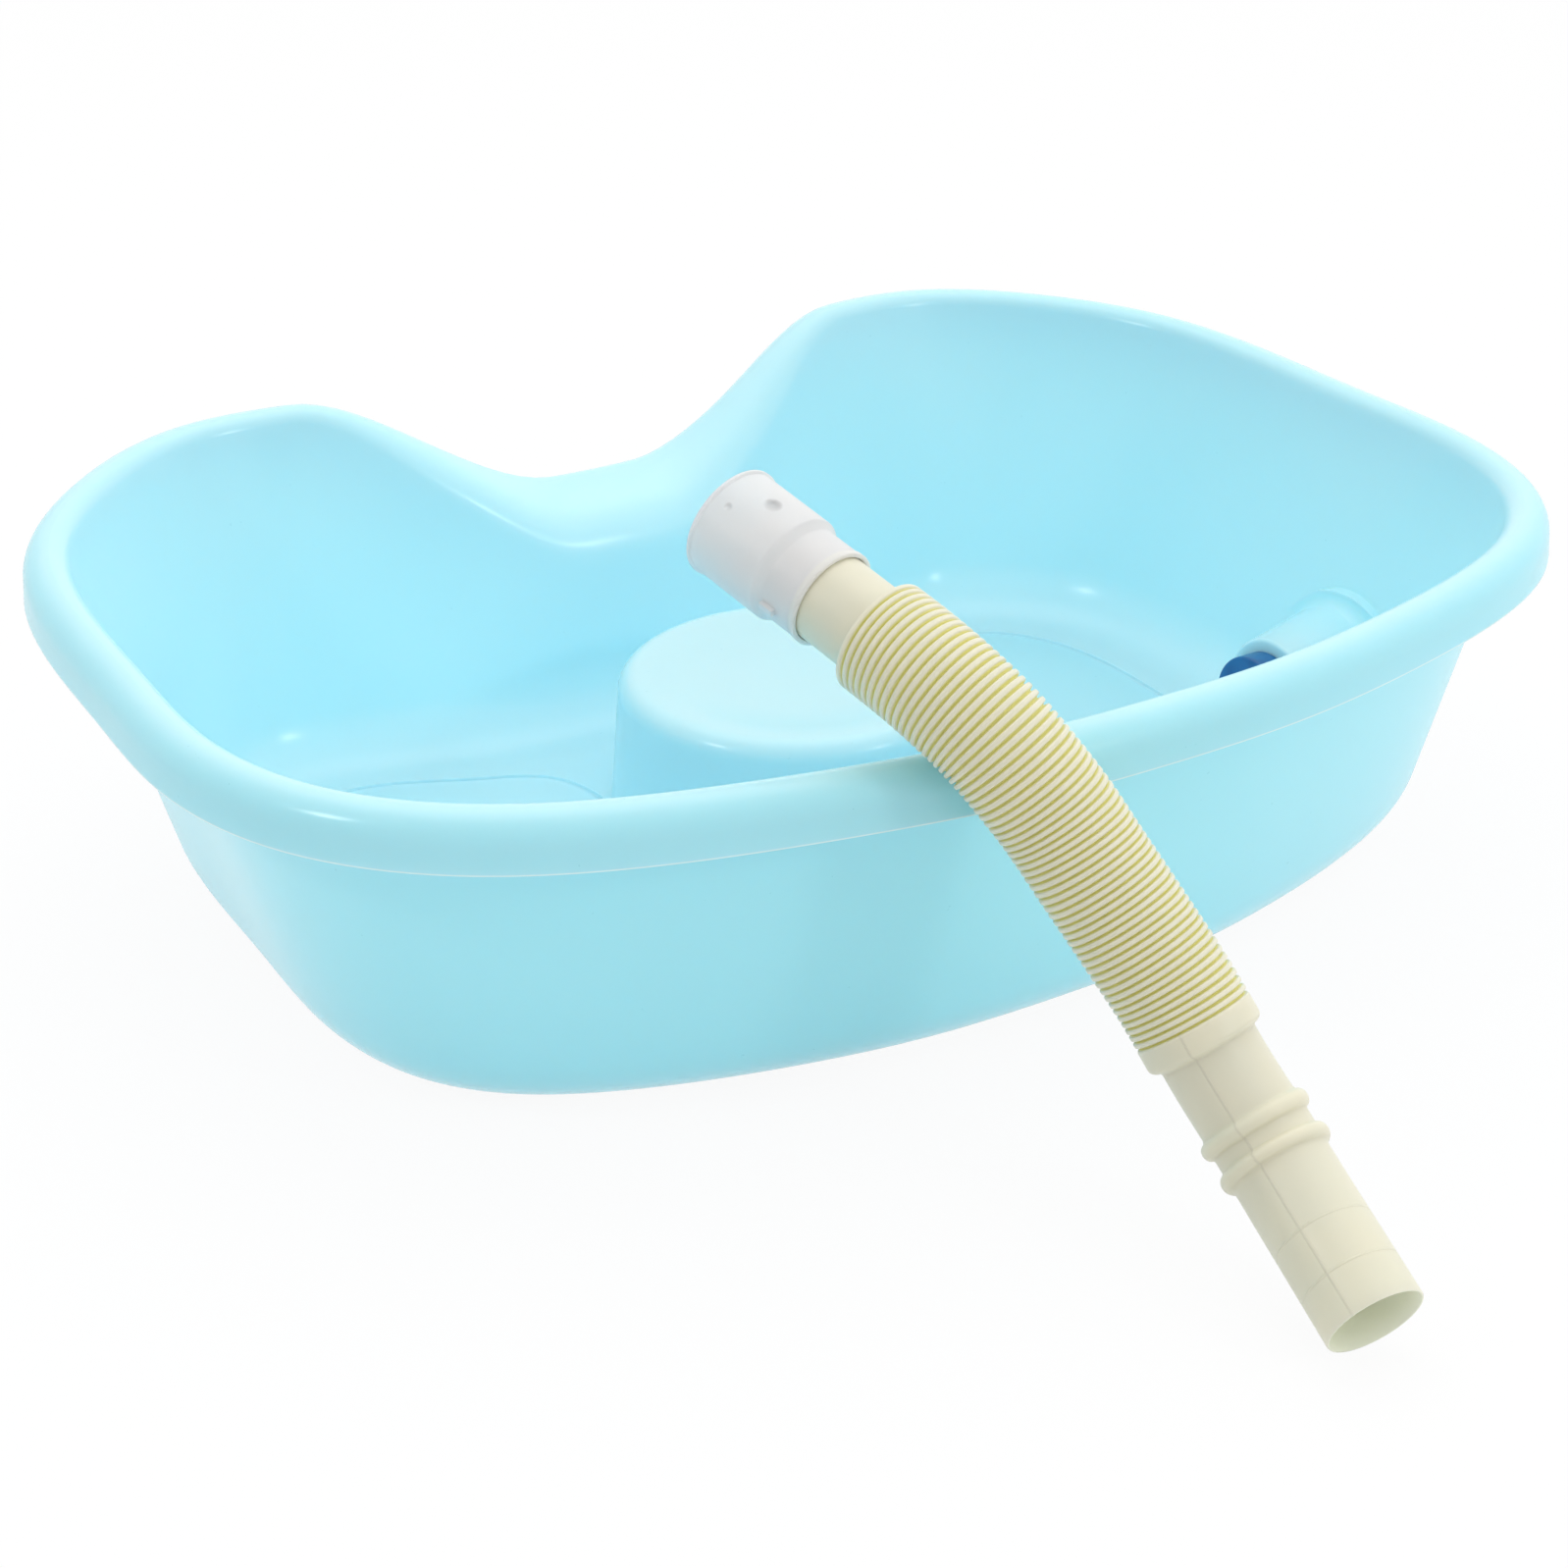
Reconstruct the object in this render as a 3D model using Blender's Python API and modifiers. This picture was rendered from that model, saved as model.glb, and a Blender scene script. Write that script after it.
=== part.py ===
"""Portable shampoo basin with its stopper, ribbed drain hose and hose adapter.

Metres, +Z up. The basin stands on z = 0, the neck notch is at +Y, the front at -Y, the drain at +X.
The hose lies over the front rim and comes down to the surface in front of the basin.
"""

import math

import bmesh
import bpy
import numpy as np
from mathutils import Vector

OBJECT_NAME = "portable_shampoo_basin"

# Fits
SLIP_FIT = 0.0003
CUT_OVERRUN = 0.012

# Rim; its widest line lies a little behind the middle of the basin, and it rises by a share of the way back
RIM_MIDDLE_Y = 0.0044
RIM_HALF_WIDTH = 0.2485
RIM_FRONT = 0.1881
RIM_BACK = 0.1769
RIM_HEIGHT = 0.1276
RIM_SAG = 0.0055
RIM_RISE = 0.0253
RIM_WIDTH = 0.0154
SKIRT_DEPTH = 0.0158
SKIRT_DRAFT = 0.0006
SHOULDER_RADIUS = 0.0090
RIM_INNER_RADIUS = 0.0050
NOTCH_DEPTH_SHARE = 0.924
# Right half of the rim seen from above, front to back: shares of the half width and of the front or back depth.
RIM_OUTLINE_SHARES = (
    (0.0, -1.0),
    (0.209, -0.988),
    (0.422, -0.938),
    (0.601, -0.871),
    (0.786, -0.752),
    (0.932, -0.546),
    (0.997, -0.282),
    (1.0, 0.0),
    (0.994, 0.301),
    (0.949, 0.597),
    (0.825, 0.841),
    (0.644, 1.0),
    (0.408, 0.988),
    (0.244, 0.940),
    (0.117, 0.931),
    (0.0, NOTCH_DEPTH_SHARE),
)

# Neck notch
NOTCH_DROP = 0.0427
NOTCH_FLAT = 0.016
NOTCH_REACH = 0.115
LIP_WIDTH = 0.0380
LIP_SLOPE = math.radians(24)
LIP_RADIUS = 0.0120

# Bowl
WALL = 0.0022
WALL_INSET = 0.0397
FRONT_WALL_INSET = 0.0345
NOTCH_WALL_INSET = 0.0420
FRONT_REACH = 0.190
CORNER_FILL = 0.0037
BOTTOM_RADIUS = 0.0269
FOOT_HEIGHT = 0.0018
FLOOR_Z = FOOT_HEIGHT + WALL

# Head rest in the middle of the bowl
DOME_RADIUS = 0.0623
DOME_TOP = 0.0600
DOME_DRAFT = 0.0035
DOME_EDGE_RADIUS = 0.0070
DOME_FOOT_RADIUS = 0.0050
HEAD_REST_GAP = 0.0121
DOME_FOOT_END = DOME_RADIUS + DOME_DRAFT + DOME_FOOT_RADIUS
NOTCH_FLOOR_END = RIM_MIDDLE_Y + NOTCH_DEPTH_SHARE * RIM_BACK - NOTCH_WALL_INSET - BOTTOM_RADIUS
DOME_Y = NOTCH_FLOOR_END - HEAD_REST_GAP - DOME_FOOT_END
DISH_DEPTH = 0.0025
DISH_RING_SHARES = (0.8, 0.5, 0.22)

# Foot ridges and the grooves over them
PANEL_INNER = 0.0550
PANEL_OUTER_INSET = 0.0760
PANEL_OUTER = RIM_HALF_WIDTH - PANEL_OUTER_INSET
PANEL_FRONT = 0.1100
PANEL_BACK = 0.1120
RIDGE_WIDTH = 0.0034
GROOVE_WIDTH = 0.0018
# One panel from its inner front corner: shares of the way to the outer side, and of the front or back depth.
PANEL_OUTLINE_SHARES = (
    (0.0, -0.80),
    (0.0, -0.27),
    (0.0, 0.27),
    (0.0, 0.60),
    (0.05, 0.73),
    (0.26, 0.86),
    (0.49, 0.97),
    (0.64, 1.0),
    (0.79, 0.96),
    (0.93, 0.81),
    (1.0, 0.58),
    (1.0, 0.1),
    (1.0, -0.38),
    (0.93, -0.70),
    (0.72, -0.90),
    (0.42, -0.98),
    (0.16, -1.0),
    (0.03, -0.94),
)

# Drain
DRAIN_Y = -0.0298
DRAIN_Z = 0.0225
HOUSING_FACE_INSET = 0.0700
HOUSING_FACE_X = RIM_HALF_WIDTH - HOUSING_FACE_INSET
HOUSING_RADIUS = 0.0228
HOUSING_ROOT_RADIUS = 0.0280
HOUSING_EDGE_RADIUS = 0.0015
HOUSING_FLARE_RADIUS = 0.0060
HOUSING_FLARE_INSET = 0.0420
HOUSING_FLARE_X = RIM_HALF_WIDTH - HOUSING_FLARE_INSET
RECESS_RISE = 0.0016
RECESS_RADIUS = HOUSING_RADIUS - WALL - RECESS_RISE
SPIGOT_END_INSET = 0.0435
SPIGOT_END_X = RIM_HALF_WIDTH - SPIGOT_END_INSET
SPIGOT_RADIUS = 0.0154
BORE_RADIUS = 0.0133
# How far the recess, the spigot and the bore are turned, as shares of one facet.
PHASE_SHARES = (0.5, 0.25, 0.75)

# Stopper
PLUG_FLANGE_RADIUS = 0.0180
PLUG_FLANGE = 0.0095
PLUG_EDGE_RADIUS = 0.0010
PLUG_STEM = 0.0120
PLUG_STEM_TAPER = 0.0007
PLUG_WALL = 0.0016

# Hose and adapter, as lengths along their common axis from the adapter's mouth
ADAPTER_WALL = 0.0011
ADAPTER_MOUTH_RADIUS = SPIGOT_RADIUS + SLIP_FIT + ADAPTER_WALL
ADAPTER_SHOULDER_AT = 0.0253
ADAPTER_TAPER = 0.0030
ADAPTER_LENGTH = 0.0409
ADAPTER_LUG = (0.0022, 0.0052, 0.0014)
LUG_TURN = math.radians(197)
HOSE_START = 0.0279
UPPER_CUFF_RADIUS = 0.0132
BELLOWS_START = 0.0598
BELLOWS_END = 0.1960
BELLOWS_RADIUS = 0.0170
RIB_DEPTH = 0.0014
RIBS = 60
# Where a rib's crest and valley lie in its pitch.
RIB_SHARES = (0.25, 0.75)
SHOULDER_RING_END = 0.2049
LOWER_CUFF_RADIUS = 0.0141
BEADS_AT = (0.2283, 0.2385)
BEAD_RADIUS = 0.0026
BEAD_HEIGHT = 0.0020
HOSE_WALL = 0.0011
CUFF_STEP = 0.0022
# The step under the shoulder ring: shares of its length and of its drop.
SHOULDER_STEP_SHARES = ((0.0, 0.0), (0.6, 0.25), (1.0, 1.0))
STRAIGHT_END = 0.0340
# Axis from the adapter's mouth, over the front rim, to the open end on the surface.
HOSE_ROUTE = (
    (-0.0916, -0.0962, 0.1699),
    (-0.0854, -0.1241, 0.1615),
    (-0.0792, -0.1522, 0.1530),
    (-0.0773, -0.1593, 0.1506),
    (-0.0753, -0.1660, 0.1479),
    (-0.0707, -0.1777, 0.1414),
    (-0.0656, -0.1877, 0.1334),
    (-0.0602, -0.1960, 0.1237),
    (-0.0548, -0.2034, 0.1132),
    (-0.0503, -0.2109, 0.1023),
    (-0.0460, -0.2187, 0.0917),
    (-0.0420, -0.2269, 0.0812),
    (-0.0383, -0.2353, 0.0708),
    (-0.0355, -0.2438, 0.0603),
    (-0.0332, -0.2528, 0.0503),
    (-0.0313, -0.2628, 0.0414),
    (-0.0306, -0.2738, 0.0334),
    (-0.0315, -0.2861, 0.0271),
    (-0.0335, -0.3023, 0.0203),
    (-0.0353, -0.3182, 0.0133),
)

# How much light the adapter's clear plastic lets through
MILKY = 0.5

# Fineness
STATIONS = 60
ROUND_STEPS = 32
PANEL_POINTS = 40
CURVE_SAMPLES = 24
WALL_ROUND_POINTS = 6
EDGE_POINTS = 5
SMALL_ROUND_POINTS = 4
TUBE_RESOLUTION = 2
GROOVE_RESOLUTION = 1
BORE_STEPS = 16
CUFF_STEPS = 4
AXIS_MERGE = 0.00001
CAP_MERGE = 0.000002
CREASE = math.radians(40)


def clear_scene():
    for obj in list(bpy.data.objects):
        bpy.data.objects.remove(obj, do_unlink=True)


def new_collection(name):
    collection = bpy.data.collections.new(name)
    bpy.context.scene.collection.children.link(collection)
    return collection


def add_object(name, data, collection):
    obj = bpy.data.objects.new(name, data)
    collection.objects.link(obj)
    return obj


def make_helper(obj):
    obj.hide_render = True
    obj.display_type = "WIRE"
    return obj


def plastic(name, color, roughness, transmission=0.0):
    material = bpy.data.materials.new(name)
    material.use_nodes = True
    shader = material.node_tree.nodes["Principled BSDF"]
    shader.inputs["Base Color"].default_value = (*color, 1.0)
    shader.inputs["Roughness"].default_value = roughness
    shader.inputs["Metallic"].default_value = 0.0
    shader.inputs["Transmission Weight"].default_value = transmission
    material.diffuse_color = (*color, 1.0)
    return material


def smooth(obj, material):
    obj.data.materials.append(material)
    if obj.type == "MESH":
        obj.data.shade_smooth()
        obj.data.set_sharp_from_angle(angle=CREASE)


def blend(start, end, share):
    return start + (end - start) * share


def ease(share):
    """Goes from 0 to 1 with level ends."""
    share = min(max(share, 0.0), 1.0)
    return share * share * (3 - 2 * share)


def cubic_moments(points, steps, closed):
    """Second derivatives of the cubic curve through the points, for the given parameter steps."""
    count = len(points)
    matrix = np.zeros((count, count))
    right = np.zeros_like(points)
    for i in range(count):
        if not closed and i in (0, count - 1):
            matrix[i, i] = 1.0
            continue
        before, after = steps[i - 1], steps[i % len(steps)]
        following = (i + 1) % count
        matrix[i, i - 1] += before
        matrix[i, i] += 2 * (before + after)
        matrix[i, following] += after
        right[i] = 6 * ((points[following] - points[i]) / after - (points[i] - points[i - 1]) / before)
    return np.linalg.solve(matrix, right)


def smooth_curve(knots, closed):
    """Dense points on a cubic curve through the knots, with its length at each of them."""
    points = np.array(knots, dtype=float)
    ends = np.roll(points, -1, axis=0) if closed else points[1:]
    starts = points if closed else points[:-1]
    steps = np.linalg.norm(ends - starts, axis=1)
    moments = cubic_moments(points, steps, closed)
    dense = []
    for i, step in enumerate(steps):
        j = (i + 1) % len(points)
        for share in np.arange(CURVE_SAMPLES) / CURVE_SAMPLES:
            rest = 1 - share
            bow = (rest**3 - rest) * moments[i] + (share**3 - share) * moments[j]
            dense.append(rest * points[i] + share * points[j] + bow * step**2 / 6)
    dense.append(points[0] if closed else points[-1])
    dense = np.array(dense)
    lengths = np.concatenate([[0], np.cumsum(np.linalg.norm(np.diff(dense, axis=0), axis=1))])
    return dense, lengths


def points_at(dense, lengths, places):
    return np.column_stack([np.interp(places, lengths, dense[:, axis]) for axis in range(dense.shape[1])])


def even_outline(knots, count):
    """Evenly spaced points on a closed curve through the knots, and the outward normals there."""
    dense, lengths = smooth_curve(knots, closed=True)
    points = points_at(dense, lengths, np.arange(count) * lengths[-1] / count)
    along = np.roll(points, -1, axis=0) - np.roll(points, 1, axis=0)
    along /= np.linalg.norm(along, axis=1)[:, None]
    return points, np.column_stack([along[:, 1], -along[:, 0]])


def rim_outline():
    right = [
        (across * RIM_HALF_WIDTH, RIM_MIDDLE_Y + depth * (RIM_FRONT if depth < 0 else RIM_BACK))
        for across, depth in RIM_OUTLINE_SHARES
    ]
    left = [(-x, y) for x, y in right[-2:0:-1]]
    return even_outline(right + left, STATIONS)


def panel_outline(side, margin, count):
    """The foot ridge's outline on one side, grown by a margin."""
    knots = []
    for across, depth in PANEL_OUTLINE_SHARES:
        x = blend(PANEL_INNER, PANEL_OUTER, across)
        knots.append((x, RIM_MIDDLE_Y + depth * (PANEL_FRONT if depth < 0 else PANEL_BACK)))
    points, normals = even_outline(knots[::-1], count)
    grown = points + normals * margin
    return [(side * x, y) for x, y in grown]


def notch_share(x, y):
    """1 in the middle of the neck notch, 0 on the rest of the rim."""
    if y < RIM_MIDDLE_Y:
        return 0.0
    return 1 - ease((abs(x) - NOTCH_FLAT) / (NOTCH_REACH - NOTCH_FLAT))


def sideways_share(x, y):
    """1 at the two ends of the basin, 0 in the middle of its front and back."""
    return abs(x) / math.hypot(x, y - RIM_MIDDLE_Y)


def rim_height(x, y):
    """The rim sags a little at the ends and rises a little towards the back."""
    level = RIM_HEIGHT + RIM_RISE * (y - RIM_MIDDLE_Y)
    return level - NOTCH_DROP * notch_share(x, y) - RIM_SAG * sideways_share(x, y) ** 4


def wall_inset(x, y):
    """How far the wall's foot lies in from the rim: less along the front and its corners, more at the notch."""
    inset = WALL_INSET
    if y < RIM_MIDDLE_Y:
        sideways = sideways_share(x, y)
        corner = 4 * sideways**2 * (1 - sideways**2)
        inset = blend(FRONT_WALL_INSET, WALL_INSET, ease(abs(x) / FRONT_REACH)) - CORNER_FILL * corner
    return blend(inset, NOTCH_WALL_INSET, notch_share(x, y))


def arc(centre, radius, start, end, count):
    """Points (inset, height) on a round; angle 0 points up and a quarter turn points into the bowl."""
    angles = np.linspace(start, end, count)
    return [(centre[0] + radius * math.sin(a), centre[1] + radius * math.cos(a)) for a in angles]


def lip_round(x, y):
    """The rim's inner round: its centre as (inset, height), its radius, and the slope where it starts."""
    notch = notch_share(x, y)
    radius = blend(RIM_INNER_RADIUS, LIP_RADIUS, notch)
    slope = LIP_SLOPE * notch
    inset = blend(RIM_WIDTH, LIP_WIDTH, notch) - radius
    start = inset + radius * math.sin(slope)
    start_height = rim_height(x, y) - (start - SHOULDER_RADIUS) * math.tan(slope)
    return (inset, start_height - radius * math.cos(slope)), radius, slope


def wall_draft(x, y):
    """The wall's lean between the rim's inner round and the bottom round."""
    centre, radius, _ = lip_round(x, y)
    return math.atan2(wall_inset(x, y) - centre[0] - radius, centre[1] - FLOOR_Z - BOTTOM_RADIUS)


def bottom_arc(x, y, growth):
    """The round from the wall to the floor, as seen from inside, or grown outwards through the wall."""
    centre = (wall_inset(x, y) + BOTTOM_RADIUS, FLOOR_Z + BOTTOM_RADIUS)
    start = -math.pi / 2 - wall_draft(x, y)
    return arc(centre, BOTTOM_RADIUS + growth, start, -math.pi, WALL_ROUND_POINTS)


def rim_section(x, y):
    """One cut through rim, wall and bottom round as (inset from the rim's outer edge, height)."""
    height = rim_height(x, y)
    skirt = [(-SKIRT_DRAFT, height - SKIRT_DEPTH)]
    shoulder_centre = (SHOULDER_RADIUS, height - SHOULDER_RADIUS)
    shoulder = arc(shoulder_centre, SHOULDER_RADIUS, -math.pi / 2, 0, EDGE_POINTS)
    centre, radius, slope = lip_round(x, y)
    edge = arc(centre, radius, slope, math.pi / 2 - wall_draft(x, y), EDGE_POINTS)
    bottom = bottom_arc(x, y, 0)
    middle = tuple((np.array(edge[-1]) + np.array(bottom[0])) / 2)
    return skirt + shoulder + edge + [middle] + bottom


def dome_section():
    """The head rest from its foot to the rim of its dish, as (radius, height)."""
    foot_radius = DOME_RADIUS + DOME_DRAFT
    lean = math.atan2(DOME_DRAFT, DOME_TOP - FLOOR_Z)
    foot_centre = (foot_radius + DOME_FOOT_RADIUS, FLOOR_Z + DOME_FOOT_RADIUS)
    foot = arc(foot_centre, DOME_FOOT_RADIUS, -math.pi, -math.pi / 2 - lean, SMALL_ROUND_POINTS)
    edge_centre = (DOME_RADIUS - DOME_EDGE_RADIUS, DOME_TOP - DOME_EDGE_RADIUS)
    edge = arc(edge_centre, DOME_EDGE_RADIUS, math.pi / 2 - lean, 0, EDGE_POINTS)
    dish = [(share * edge_centre[0], DOME_TOP - DISH_DEPTH * (1 - share**2)) for share in DISH_RING_SHARES]
    return foot + edge + dish


def loft(rings, end):
    """A surface through the rings, from the outermost in, closed by a fan to the end point."""
    mesh = bmesh.new()
    rows = [[mesh.verts.new(point) for point in ring] for ring in rings]
    for outer, inner in zip(rows, rows[1:]):
        for i in range(len(outer)):
            j = (i + 1) % len(outer)
            mesh.faces.new((outer[i], outer[j], inner[j], inner[i]))
    tip = mesh.verts.new(end)
    last = rows[-1]
    for i in range(len(last)):
        mesh.faces.new((last[i], last[(i + 1) % len(last)], tip))
    return mesh


def to_mesh(name, mesh):
    data = bpy.data.meshes.new(name)
    mesh.to_mesh(data)
    mesh.free()
    return data


def bowl_rings():
    outline, normals = rim_outline()
    sections = [rim_section(x, y) for x, y in outline]
    rings = []
    for ring in range(len(sections[0])):
        inset = np.array([section[ring][0] for section in sections])
        height = np.array([section[ring][1] for section in sections])
        rings.append(np.column_stack([outline - normals * inset[:, None], height]))
    angles = -math.pi / 2 + np.arange(STATIONS) * 2 * math.pi / STATIONS
    for radius, height in dome_section():
        ring = np.column_stack([np.cos(angles) * radius, DOME_Y + np.sin(angles) * radius])
        rings.append(np.column_stack([ring, np.full(STATIONS, height)]))
    return rings


def bowl_shell(collection):
    mesh = loft(bowl_rings(), (0, DOME_Y, DOME_TOP - DISH_DEPTH))
    bowl = add_object("basin", to_mesh("basin", mesh), collection)
    shell = bowl.modifiers.new("Wall", "SOLIDIFY")
    shell.thickness = WALL
    shell.offset = -1
    shell.use_even_offset = True
    return bowl


def bowl_envelope(collection):
    """A closed body out to the middle of the bowl's wall, which trims what is moulded inside it."""
    outline, normals = rim_outline()
    growth = WALL / 2
    top = RIM_HEIGHT - NOTCH_DROP - SKIRT_DEPTH
    sections = []
    for x, y in outline:
        bottom = bottom_arc(x, y, growth)
        start, start_height = bottom[0]
        widening = (top - start_height) * math.tan(wall_draft(x, y))
        sections.append([(start - widening, top)] + bottom)
    rings = []
    for ring in range(len(sections[0])):
        inset = np.array([section[ring][0] for section in sections])
        height = np.array([section[ring][1] for section in sections])
        rings.append(np.column_stack([outline - normals * inset[:, None], height]))
    mesh = loft(rings, (0, 0, FLOOR_Z - growth))
    mesh.verts.ensure_lookup_table()
    mesh.faces.new([mesh.verts[i] for i in range(STATIONS)])
    bmesh.ops.recalc_face_normals(mesh, faces=mesh.faces)
    return make_helper(add_object("bowl_envelope", to_mesh("bowl_envelope", mesh), collection))


def turned(name, profile, collection, phase_share=0.0):
    """A body turned round its local Z from (radius, height) points, from the top down its outer side."""
    phase = phase_share * 2 * math.pi / ROUND_STEPS
    points = [(radius * math.cos(phase), radius * math.sin(phase), height) for radius, height in profile]
    data = bpy.data.meshes.new(name)
    data.from_pydata(points, [(i, i + 1) for i in range(len(profile) - 1)], [])
    obj = add_object(name, data, collection)
    screw = obj.modifiers.new("Turned", "SCREW")
    screw.axis = "Z"
    screw.steps = ROUND_STEPS
    screw.render_steps = ROUND_STEPS
    screw.use_merge_vertices = True
    screw.merge_threshold = AXIS_MERGE
    return obj


def closed_profile(profile):
    """Joins a ring-shaped profile's end to its start, so that it turns into a tube."""
    return profile + [profile[0]]


def lay_on_drain_axis(obj):
    """Turns a body so that its local Z runs out through the drain along +X."""
    obj.location = (0, DRAIN_Y, DRAIN_Z)
    obj.rotation_euler = (0, math.pi / 2, 0)
    return obj


def quarter(centre, radius, start, end, count=SMALL_ROUND_POINTS):
    """Points (radius, height) on a round of a turned profile, by angle from the radial direction."""
    angles = np.linspace(start, end, count)
    return [(centre[0] + radius * math.cos(a), centre[1] + radius * math.sin(a)) for a in angles]


def drain_housing(envelope, collection):
    """The tapered boss that stands into the bowl, flared where it meets the wall."""
    flare_centre = (HOUSING_ROOT_RADIUS + HOUSING_FLARE_RADIUS, HOUSING_FLARE_X)
    flare = quarter(flare_centre, HOUSING_FLARE_RADIUS, math.pi / 2, math.pi, WALL_ROUND_POINTS)
    outer_end = RIM_HALF_WIDTH
    edge_centre = (HOUSING_RADIUS - HOUSING_EDGE_RADIUS, HOUSING_FACE_X + HOUSING_EDGE_RADIUS)
    edge = quarter(edge_centre, HOUSING_EDGE_RADIUS, 0, -math.pi / 2)
    profile = [(0, outer_end), (flare[0][0], outer_end)] + flare + edge + [(0, HOUSING_FACE_X)]
    housing = lay_on_drain_axis(make_helper(turned("drain_housing", profile, collection)))
    trim = housing.modifiers.new("Inside the wall", "BOOLEAN")
    trim.operation = "INTERSECT"
    trim.object = envelope
    return housing


def round_bar(name, radius, start, end, phase_share, collection):
    """A plain cylinder on the drain's axis, turned a little so that its edges miss its neighbour's."""
    profile = [(0, end), (radius, end), (radius, start), (0, start)]
    return lay_on_drain_axis(make_helper(turned(name, profile, collection, phase_share)))


def drain_tools(envelope, collection):
    """What is joined to the bowl and cut from it at the drain, in order."""
    floor = HOUSING_FACE_X + WALL
    outside = RIM_HALF_WIDTH + CUT_OVERRUN
    inside = HOUSING_FACE_X - CUT_OVERRUN
    spigot_start = floor - WALL / 2
    recess_share, spigot_share, bore_share = PHASE_SHARES
    recess = round_bar("drain_recess", RECESS_RADIUS, floor, outside, recess_share, collection)
    recess.location.z += RECESS_RISE
    return (
        ("UNION", drain_housing(envelope, collection)),
        ("DIFFERENCE", recess),
        ("UNION", round_bar("spigot", SPIGOT_RADIUS, spigot_start, SPIGOT_END_X, spigot_share, collection)),
        ("DIFFERENCE", round_bar("drain_bore", BORE_RADIUS, inside, outside, bore_share, collection)),
    )


def curve_object(name, splines, collection, cyclic=True, dimensions="2D"):
    """A curve of straight pieces through each list of (x, y, z, radius share) points."""
    data = bpy.data.curves.new(name, "CURVE")
    data.dimensions = dimensions
    data.twist_mode = "Z_UP"
    for points in splines:
        spline = data.splines.new("POLY")
        spline.points.add(len(points) - 1)
        for target, (x, y, z, share) in zip(spline.points, points):
            target.co = (x, y, z, 1)
            target.radius = share
        spline.use_cyclic_u = cyclic
    return add_object(name, data, collection)


def curve_to_mesh(obj, collection):
    """Replaces a curve object by the mesh that it makes, with its caps joined."""
    graph = bpy.context.evaluated_depsgraph_get()
    data = bpy.data.meshes.new_from_object(obj.evaluated_get(graph))
    matrix = obj.matrix_world.copy()
    name = obj.name
    bpy.data.objects.remove(obj, do_unlink=True)
    mesh = bmesh.new()
    mesh.from_mesh(data)
    bmesh.ops.remove_doubles(mesh, verts=mesh.verts, dist=CAP_MERGE)
    bmesh.ops.recalc_face_normals(mesh, faces=mesh.faces)
    mesh.to_mesh(data)
    mesh.free()
    made = add_object(name, data, collection)
    made.matrix_world = matrix
    return made


def dome_footprint(collection):
    """The column of space over and under the head rest, where the floor has no ridge or groove."""
    radius = DOME_FOOT_END
    profile = [(0, DOME_TOP), (radius, DOME_TOP), (radius, -CUT_OVERRUN), (0, -CUT_OVERRUN)]
    column = make_helper(turned("dome_footprint", profile, collection))
    column.location.y = DOME_Y
    return column


def stop_at(obj, column):
    """Ends a strip on the floor where it meets the head rest."""
    cut = obj.modifiers.new("Stops at the head rest", "BOOLEAN")
    cut.operation = "DIFFERENCE"
    cut.object = column
    return make_helper(obj)


def foot_ridge(side, column, collection):
    """A flat-bottomed strip that follows the panel's outline under the floor."""
    edges = []
    for margin in (RIDGE_WIDTH / 2, -RIDGE_WIDTH / 2):
        edges.append([(x, y, 0, 1) for x, y in panel_outline(side, margin, PANEL_POINTS)])
    ridge = curve_object("foot_ridge", edges, collection)
    ridge.data.fill_mode = "BOTH"
    height = FOOT_HEIGHT + WALL / 2
    ridge.data.extrude = height / 2
    ridge.location.z = height / 2
    bpy.context.view_layer.update()
    return stop_at(curve_to_mesh(ridge, collection), column)


def floor_groove(side, column, collection):
    """The half-round line in the floor over the foot ridge."""
    points = [(x, y, FLOOR_Z, 1) for x, y in panel_outline(side, 0, PANEL_POINTS)]
    groove = curve_object("floor_groove", [points], collection, dimensions="3D")
    groove.data.bevel_depth = GROOVE_WIDTH / 2
    groove.data.bevel_resolution = GROOVE_RESOLUTION
    return stop_at(curve_to_mesh(groove, collection), column)


def make_basin(parts, tools, material):
    """One injection moulding: bowl, rolled rim with neck notch, head rest, drain and foot ridges."""
    basin = bowl_shell(parts)
    steps = list(drain_tools(bowl_envelope(tools), tools))
    column = dome_footprint(tools)
    for side in (1, -1):
        steps.append(("UNION", foot_ridge(side, column, tools)))
        steps.append(("DIFFERENCE", floor_groove(side, column, tools)))
    for operation, tool in steps:
        boolean = basin.modifiers.new(tool.name, "BOOLEAN")
        boolean.operation = operation
        boolean.object = tool
    smooth(basin, material)
    return basin


def make_plug(parts, material):
    """The push-in stopper: a thick grip with a tapered stem that plugs the drain bore, hollow from behind."""
    flange_top = HOUSING_FACE_X - SLIP_FIT
    face = flange_top - PLUG_FLANGE
    stem_end = flange_top + PLUG_STEM
    root = BORE_RADIUS - SLIP_FIT
    tip = root - PLUG_STEM_TAPER
    hollow = root - PLUG_WALL
    edge_centre = (PLUG_FLANGE_RADIUS - PLUG_EDGE_RADIUS, face + PLUG_EDGE_RADIUS)
    hollow_end = face + PLUG_WALL
    profile = [(0, hollow_end), (hollow, hollow_end), (tip - PLUG_WALL, stem_end), (tip, stem_end)]
    profile += [(root, flange_top), (PLUG_FLANGE_RADIUS, flange_top)]
    profile += quarter(edge_centre, PLUG_EDGE_RADIUS, 0, -math.pi / 2) + [(0, face)]
    profile = [(radius, height - flange_top) for radius, height in profile]
    plug = lay_on_drain_axis(turned("drain_plug", profile, parts))
    plug.location.x = flange_top
    smooth(plug, material)
    return plug


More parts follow.
